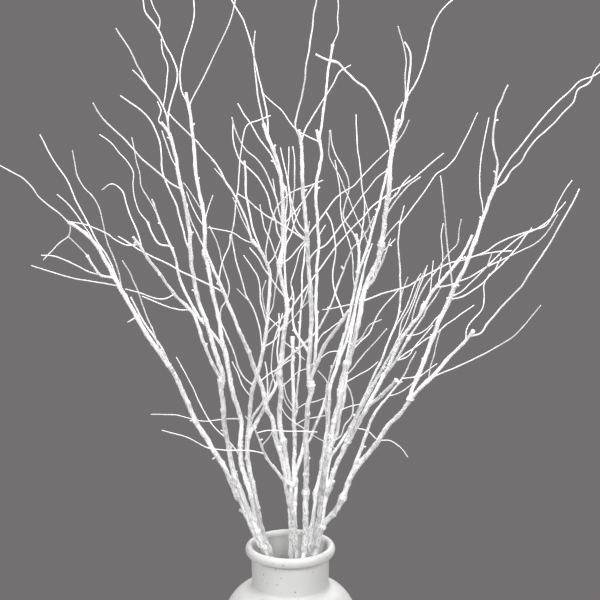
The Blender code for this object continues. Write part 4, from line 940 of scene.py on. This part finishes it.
        (1.4, 1.1, -0.20, """194,449 200,448 204,449 209,455 215,464 222,473 228,480 235,489
            243,496 249,503 254,512 260,521 266,531 272,540 278,550 284,561 290,573 295,582
            299,590 304,600 308,610"""),
        (1.5, 1.2, -0.30, """217,610 219,622 220,632 220,642 217,650 215,660 215,670 216,680
            217,690 220,700 225,710 229,720"""),
        (1.2, 1.0, 0.30, """216,607 222,622 226,630 232,640 240,650 250,663 257,673 265,683 272,692
            280,700 290,710 300,719 306,725 318,729 326,734 338,746"""),
        (1.2, 1.0, -0.10, """217,610 226,617 230,619 232,624 237,632 243,637 248,642 251,650
            257,659 265,667 278,679 288,691 294,697 299,703 301,712 304,716 313,721 316,727
            321,737 328,746"""),
        (1.0, 0.9, 0.55, "207,580 206,588 204,600 202,610 202,632 203,645 205,657 207,670 210,686"),
    ]},
}


# The bark. In spacing, sides, crook and roughShare the first value is for twigs and the second for
# thick limbs. Other pairs that say nothing else are the least and the most of a drawn value.

bark = {
    "thickFrom": 0.0011,
    "spacing": (0.0019, 0.0013),
    "sides": (8, 12),
    "crookSeed": 5,
    "crook": (0.00035, 0.00045),
    "crookLength": 0.013,
    "crookStart": 100.0,
    "lump": (0.20, 0.008, 1.0),  # height, length, and how much it changes round the limb
    "ridge": (0.17, 0.020, 2.6),
    "crumb": (0.16, 0.0042, 2.2),
    "roughShare": (0.42, 1.0),
    "reliefStart": 50.0,
    "collar": 0.45,
    "collarReach": 1.7,
    "nodeGap": (0.016, 0.034),
    "nodeSwell": (0.18, 0.50),
    "nodeWidth": (0.0016, 0.0030),
    "tipClear": 0.006,
    "spurChance": 0.30,
    "spurLength": (0.0016, 0.0042),
    "spurRadius": (0.0007, 0.0011),
    "spurTaper": (1.3, 1.0, 0.9),  # from root to tip
    "spurTilt": (0.3, 1.1),
    "tipRound": 0.35,
    "tipDome": 0.12,
    "knotSwell": 0.65,
    "knotWidth": 0.0042,
    "wrap": (0.09, 0.0036),  # height and length of a knot's wrinkles
    "forkSwell": 0.22,
    "forkWidth": (0.0032, 1.5),  # the least, and how many radii of the side limb are added
    "swellEnd": 3,
    "dullest": 0.7,
    "seedShift": 100,
}

# Knots that stand out in the bunch, as X and Z in millimetres on the drawing.
knots = """-73,398 -57,266 42,275 10,284 22,310 -5,329 175,492 144,480 45,762 46,747 313,721 231,620
    199,455 -152,574 -93,545 -41,554 17,556 70,561 4,448 22,394 73,518 131,377 107,645 -218,538
    -11,406 24,270 58,264 15,270 43,271 4,278 -88,573 52,388 117,399 131,445 -30,430 -91,540 62,418
    98,550 -11,530"""


def trunkLine(trunk):  # the stretch that stands inside the vase comes first
    mouth = trunk["points"][0]
    spread = growth["footSpread"]
    foot = np.array([mouth[0] * spread, mouth[1] * spread, vase["floor"] + growth["footGap"]])
    rise = foot + np.array([0.0, 0.0, growth["straightCut"]])
    middle = (rise + mouth) / 2
    hidden = spacedCurve(np.vstack([rise, middle, mouth]), growth["hiddenStep"])
    points = np.vstack([foot, hidden, trunk["points"][1:]])
    radius = np.concatenate([np.full(len(hidden), trunk["radius"][0]), trunk["radius"]])
    return points, radius


def crooked(line, along, depth, draw):  # small kinks that set in past the root
    start = draw.uniform(0.0, bark["crookStart"])
    ease = np.clip(along / bark["crookLength"], 0.0, 1.0)
    places = [Vector((start + length / bark["crookLength"], start, 0.5)) for length in along]
    kinks = np.array([noise.noise_vector(place) for place in places])
    return line + kinks * (ease * depth)[:, None]


def carriedFrames(line):  # directions across the line, carried along it without a twist
    directions = np.gradient(line, axis=0)
    side = Vector(directions[0]).orthogonal().normalized()
    sides, acrosses = [], []
    for direction in directions:
        ahead = Vector(direction).normalized()
        side = (side - ahead * side.dot(ahead)).normalized()
        sides.append(side)
        acrosses.append(ahead.cross(side))
    return np.array(sides), np.array(acrosses)


def topFace(rod):
    return max(rod.faces, key=lambda face: face.calc_center_median().z)


def straightRod(length, radius, cuts, sides):
    rod = bmesh.new()
    bmesh.ops.create_cone(rod, cap_ends=True, cap_tris=False, segments=sides, radius1=radius, radius2=radius,
                          depth=length, matrix=Matrix.Translation((0, 0, length / 2)))
    upright = [edge for edge in rod.edges if abs(edge.verts[0].co.z - edge.verts[1].co.z) > length / 2]
    bmesh.ops.subdivide_edges(rod, edges=upright, cuts=cuts, use_grid_fill=True)
    bmesh.ops.bevel(rod, geom=list(topFace(rod).edges), offset=radius * bark["tipRound"],
                    offset_type="OFFSET", segments=2, profile=0.5, affect="EDGES", material=-1)
    bmesh.ops.poke(rod, faces=[topFace(rod)], offset=radius * bark["tipDome"])
    return rod


def relief(angle, length, start):  # how far the bark stands out at a place on a limb
    x, y = math.cos(angle), math.sin(angle)
    total = 0.0
    for height, span, turns in (bark["lump"], bark["ridge"], bark["crumb"]):
        total += height * noise.noise(Vector((start + turns * x, turns * y, length / span + start)))
    return total


def fullness(angle, length, start, limbForm):  # share of the plain radius at a place on a limb
    full = 1.0 + bark["roughShare"][limbForm["thick"]] * relief(angle, length, start)
    for spot, width, amount, facing in limbForm["swells"]:
        if abs(length - spot) > bark["swellEnd"] * width:
            continue
        near = math.exp(-((length - spot) / width) ** 2)
        if facing is None:  # a knot goes right round and is wrinkled
            height, span = bark["wrap"]
            wave = math.sin(2 * math.pi * length / span + math.sin(angle + start))
            full += amount * near + height * math.sqrt(near) * wave
        else:
            full += amount * near * (0.5 + 0.5 * math.cos(angle - facing))
    if limbForm["collar"]:
        full += bark["collar"] * math.exp(-(length / limbForm["collar"]) ** 2)
    return full


def addRod(stem, points, radius, limbForm, draw):
    thick = limbForm["thick"]
    along = lengthsAlong(points)
    line = spacedCurve(points, bark["spacing"][thick])
    reached = lengthsAlong(line)
    line = crooked(line, reached, bark["crook"][thick], draw)
    radii = np.interp(reached, along * reached[-1] / along[-1], radius)
    sides, acrosses = carriedFrames(line)
    end, tipRadius = float(reached[-1]), float(radii[-1])
    rod = straightRod(end, tipRadius, max(1, len(line) - 2), bark["sides"][thick])
    place = rod.verts.layers.float_vector.new("barkPlace")
    dull = rod.verts.layers.float.new("limbTone")
    start = draw.uniform(0.0, bark["reliefStart"])
    low, high = (np.array(corner) for corner in cadBounds)
    for vert in rod.verts:
        length = vert.co.z
        angle = math.atan2(vert.co.y, vert.co.x)
        inward = math.hypot(vert.co.x, vert.co.y) / tipRadius
        stout = float(np.interp(length, reached, radii))
        out = stout * inward * fullness(angle, length, start, limbForm)
        vert[place] = (out * math.cos(angle), out * math.sin(angle), length + start)
        vert[dull] = limbForm["tone"]
        middle, side, across = (blended(length, reached, rows) for rows in (line, sides, acrosses))
        spot = middle + out * (math.cos(angle) * side + math.sin(angle) * across)
        if length > end:  # the rounded tip reaches past the line
            ahead = np.cross(side, across)
            spot = spot + ahead / np.linalg.norm(ahead) * (length - end)
        vert.co = np.clip(spot, low, high)
    for face in rod.faces:
        face.material_index = 0 if thick else 1
    bmesh.ops.recalc_face_normals(rod, faces=rod.faces)
    mesh = bpy.data.meshes.new("rod")
    rod.to_mesh(mesh)
    rod.free()
    stem.from_mesh(mesh)
    bpy.data.meshes.remove(mesh)
    return line, reached, sides, acrosses


def addLimb(stem, limb, draw):
    trunk = limb["parent"] is None
    points, radius = trunkLine(limb) if trunk else (limb["points"], limb["radius"])
    thick = int(limb["radius"][0] >= bark["thickFrom"])
    length = lengthsAlong(points)[-1]
    shown = lengthsAlong(limb["points"])
    hidden = length - shown[-1]
    swells, spurs = [], []
    spot = hidden + draw.uniform(*bark["nodeGap"])
    while spot < length - bark["tipClear"]:
        facing = draw.uniform(-math.pi, math.pi)
        width = draw.uniform(*bark["nodeWidth"])
        swells.append((spot, width, draw.uniform(*bark["nodeSwell"]), facing))
        if thick and draw.random() < bark["spurChance"]:
            spurs.append((spot, facing))
        spot += draw.uniform(*bark["nodeGap"])
    for place, width, amount in limb.get("knots", []):
        swells.append((hidden + float(np.interp(place, limb["along"], shown)), width, amount, None))
    collar = 0.0
    if not trunk:
        parent = limb["parent"]
        collar = bark["collarReach"] * float(np.interp(limb["place"], parent["along"], parent["radius"]))
    tone = bark["dullest"] * draw.random() ** 3
    limbForm = {"thick": thick, "tone": tone, "swells": swells, "collar": collar}
    line, reached, sides, acrosses = addRod(stem, points, radius, limbForm, draw)
    for spot, facing in spurs:
        index = min(int(np.searchsorted(reached, spot)), len(line) - 2)
        out = sides[index] * math.cos(facing) + acrosses[index] * math.sin(facing)
        stout = float(np.interp(spot, reached, np.linspace(radius[0], radius[-1], len(reached))))
        addSpur(stem, line[index], line[index + 1], out, stout, tone, draw)


def addSpur(stem, root, following, out, stout, tone, draw):
    ahead = (following - root) / np.linalg.norm(following - root)
    reach = stout + draw.uniform(*bark["spurLength"])
    tilt = draw.uniform(*bark["spurTilt"])
    way = (out + ahead * tilt) / math.hypot(1.0, tilt)
    points = np.array([root, root + way * reach * 0.5, root + way * reach])
    radius = draw.uniform(*bark["spurRadius"]) * np.array(bark["spurTaper"])
    addRod(stem, points, radius, {"thick": 0, "tone": tone, "swells": [], "collar": 0.0}, draw)


def markKnots(limbs):
    for point in readRoute(knots):
        limb, place = nearestPlace(limbs, point)
        limb.setdefault("knots", []).append((place, bark["knotWidth"], bark["knotSwell"]))
    least, more = bark["forkWidth"]
    for limb in limbs:  # a limb thickens where another grows out of it
        parent = limb["parent"]
        if parent is not None:
            root = float(limb["radius"][0])
            swell = bark["forkSwell"] * min(1.0, float(limb["radius"][0] / parent["radius"][0]))
            parent.setdefault("knots", []).append((limb["place"], least + more * root, swell))


def buildStem(name, limbs):
    draw = random.Random(stemRoutes[name]["seed"] + bark["seedShift"])
    stem = bmesh.new()
    for limb in limbs:
        if limb["stem"] == name:
            addLimb(stem, limb, draw)
    piece = placeObject("painted_" + name, stem, [limbPaint, twigPaint])
    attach(piece, "root")
    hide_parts(name)
    return len(piece.data.polygons)


noise.seed_set(bark["crookSeed"])  # the clock shifts noise_vector otherwise
allLimbs = drawLimbs()
bendClear(allLimbs)
markKnots(allLimbs)
print("limbs drawn", len(allLimbs))
faceCount = sum(buildStem(name, allLimbs) for name in stemRoutes)
print("stems grown, faces", faceCount)


studio = {
    "backdrop": (0.172, 0.163, 0.165, 1.0),
    "floorRadius": 0.30,
    "floorSides": 128,
    "floorColour": (0.46, 0.457, 0.452, 1.0),
    "floorShade": 0.96,
    "floorMottle": {"Size": 14.0, "Width": 0.02},
    "floorRoughness": 0.8,
    "softboxes": {
        "keyBox": {"place": (1.45, -1.85, 1.85), "size": 1.7, "power": 76.0},
        "fillBox": {"place": (-1.6, -1.7, 1.3), "size": 1.5, "power": 50.0},
        "topBox": {"place": (0.0, 0.3, 2.6), "size": 1.8, "power": 56.0},
        "backBox": {"place": (0.5, 2.1, 1.7), "size": 1.6, "power": 26.0},
    },
    "aim": (0.0, 0.0, 0.45),
}


def addFloor():
    bm = bmesh.new()
    bmesh.ops.create_circle(bm, cap_ends=True, cap_tris=False, segments=studio["floorSides"],
                            radius=studio["floorRadius"])
    floorMesh = bpy.data.meshes.new("paleFloor")
    bm.to_mesh(floorMesh)
    bm.free()
    material, tree, shader = startMaterial("paleFloor")
    place = inMillimetres(tree, objectPlace(tree)[0])
    mottle = useGroup(tree, crumple, {"Place": place, **studio["floorMottle"]})["Mottle"]
    pale = studio["floorColour"]
    shade = tuple(channel * studio["floorShade"] for channel in pale[:3]) + (1.0,)
    feed(tree, shader, {"Base Color": mixed(tree, mottle, pale, shade),
                        "Roughness": studio["floorRoughness"]})
    floorMesh.materials.append(material)
    floor = bpy.data.objects.new("paleFloor", floorMesh)
    scene.collection.objects.link(floor)


def addLights():
    for name, box in studio["softboxes"].items():
        light = bpy.data.lights.new(name, "AREA")
        light.shape = "SQUARE"
        light.size = box["size"]
        light.energy = box["power"]
        holder = bpy.data.objects.new(name, light)
        scene.collection.objects.link(holder)
        holder.location = box["place"]
        holder.visible_camera = False
        pointAt(holder, studio["aim"])
    world = bpy.data.worlds.new("greyRoom")
    world.use_nodes = True
    background = world.node_tree.nodes["Background"]
    background.inputs["Color"].default_value = studio["backdrop"]
    scene.world = world


addFloor()
addLights()
print("studio set")
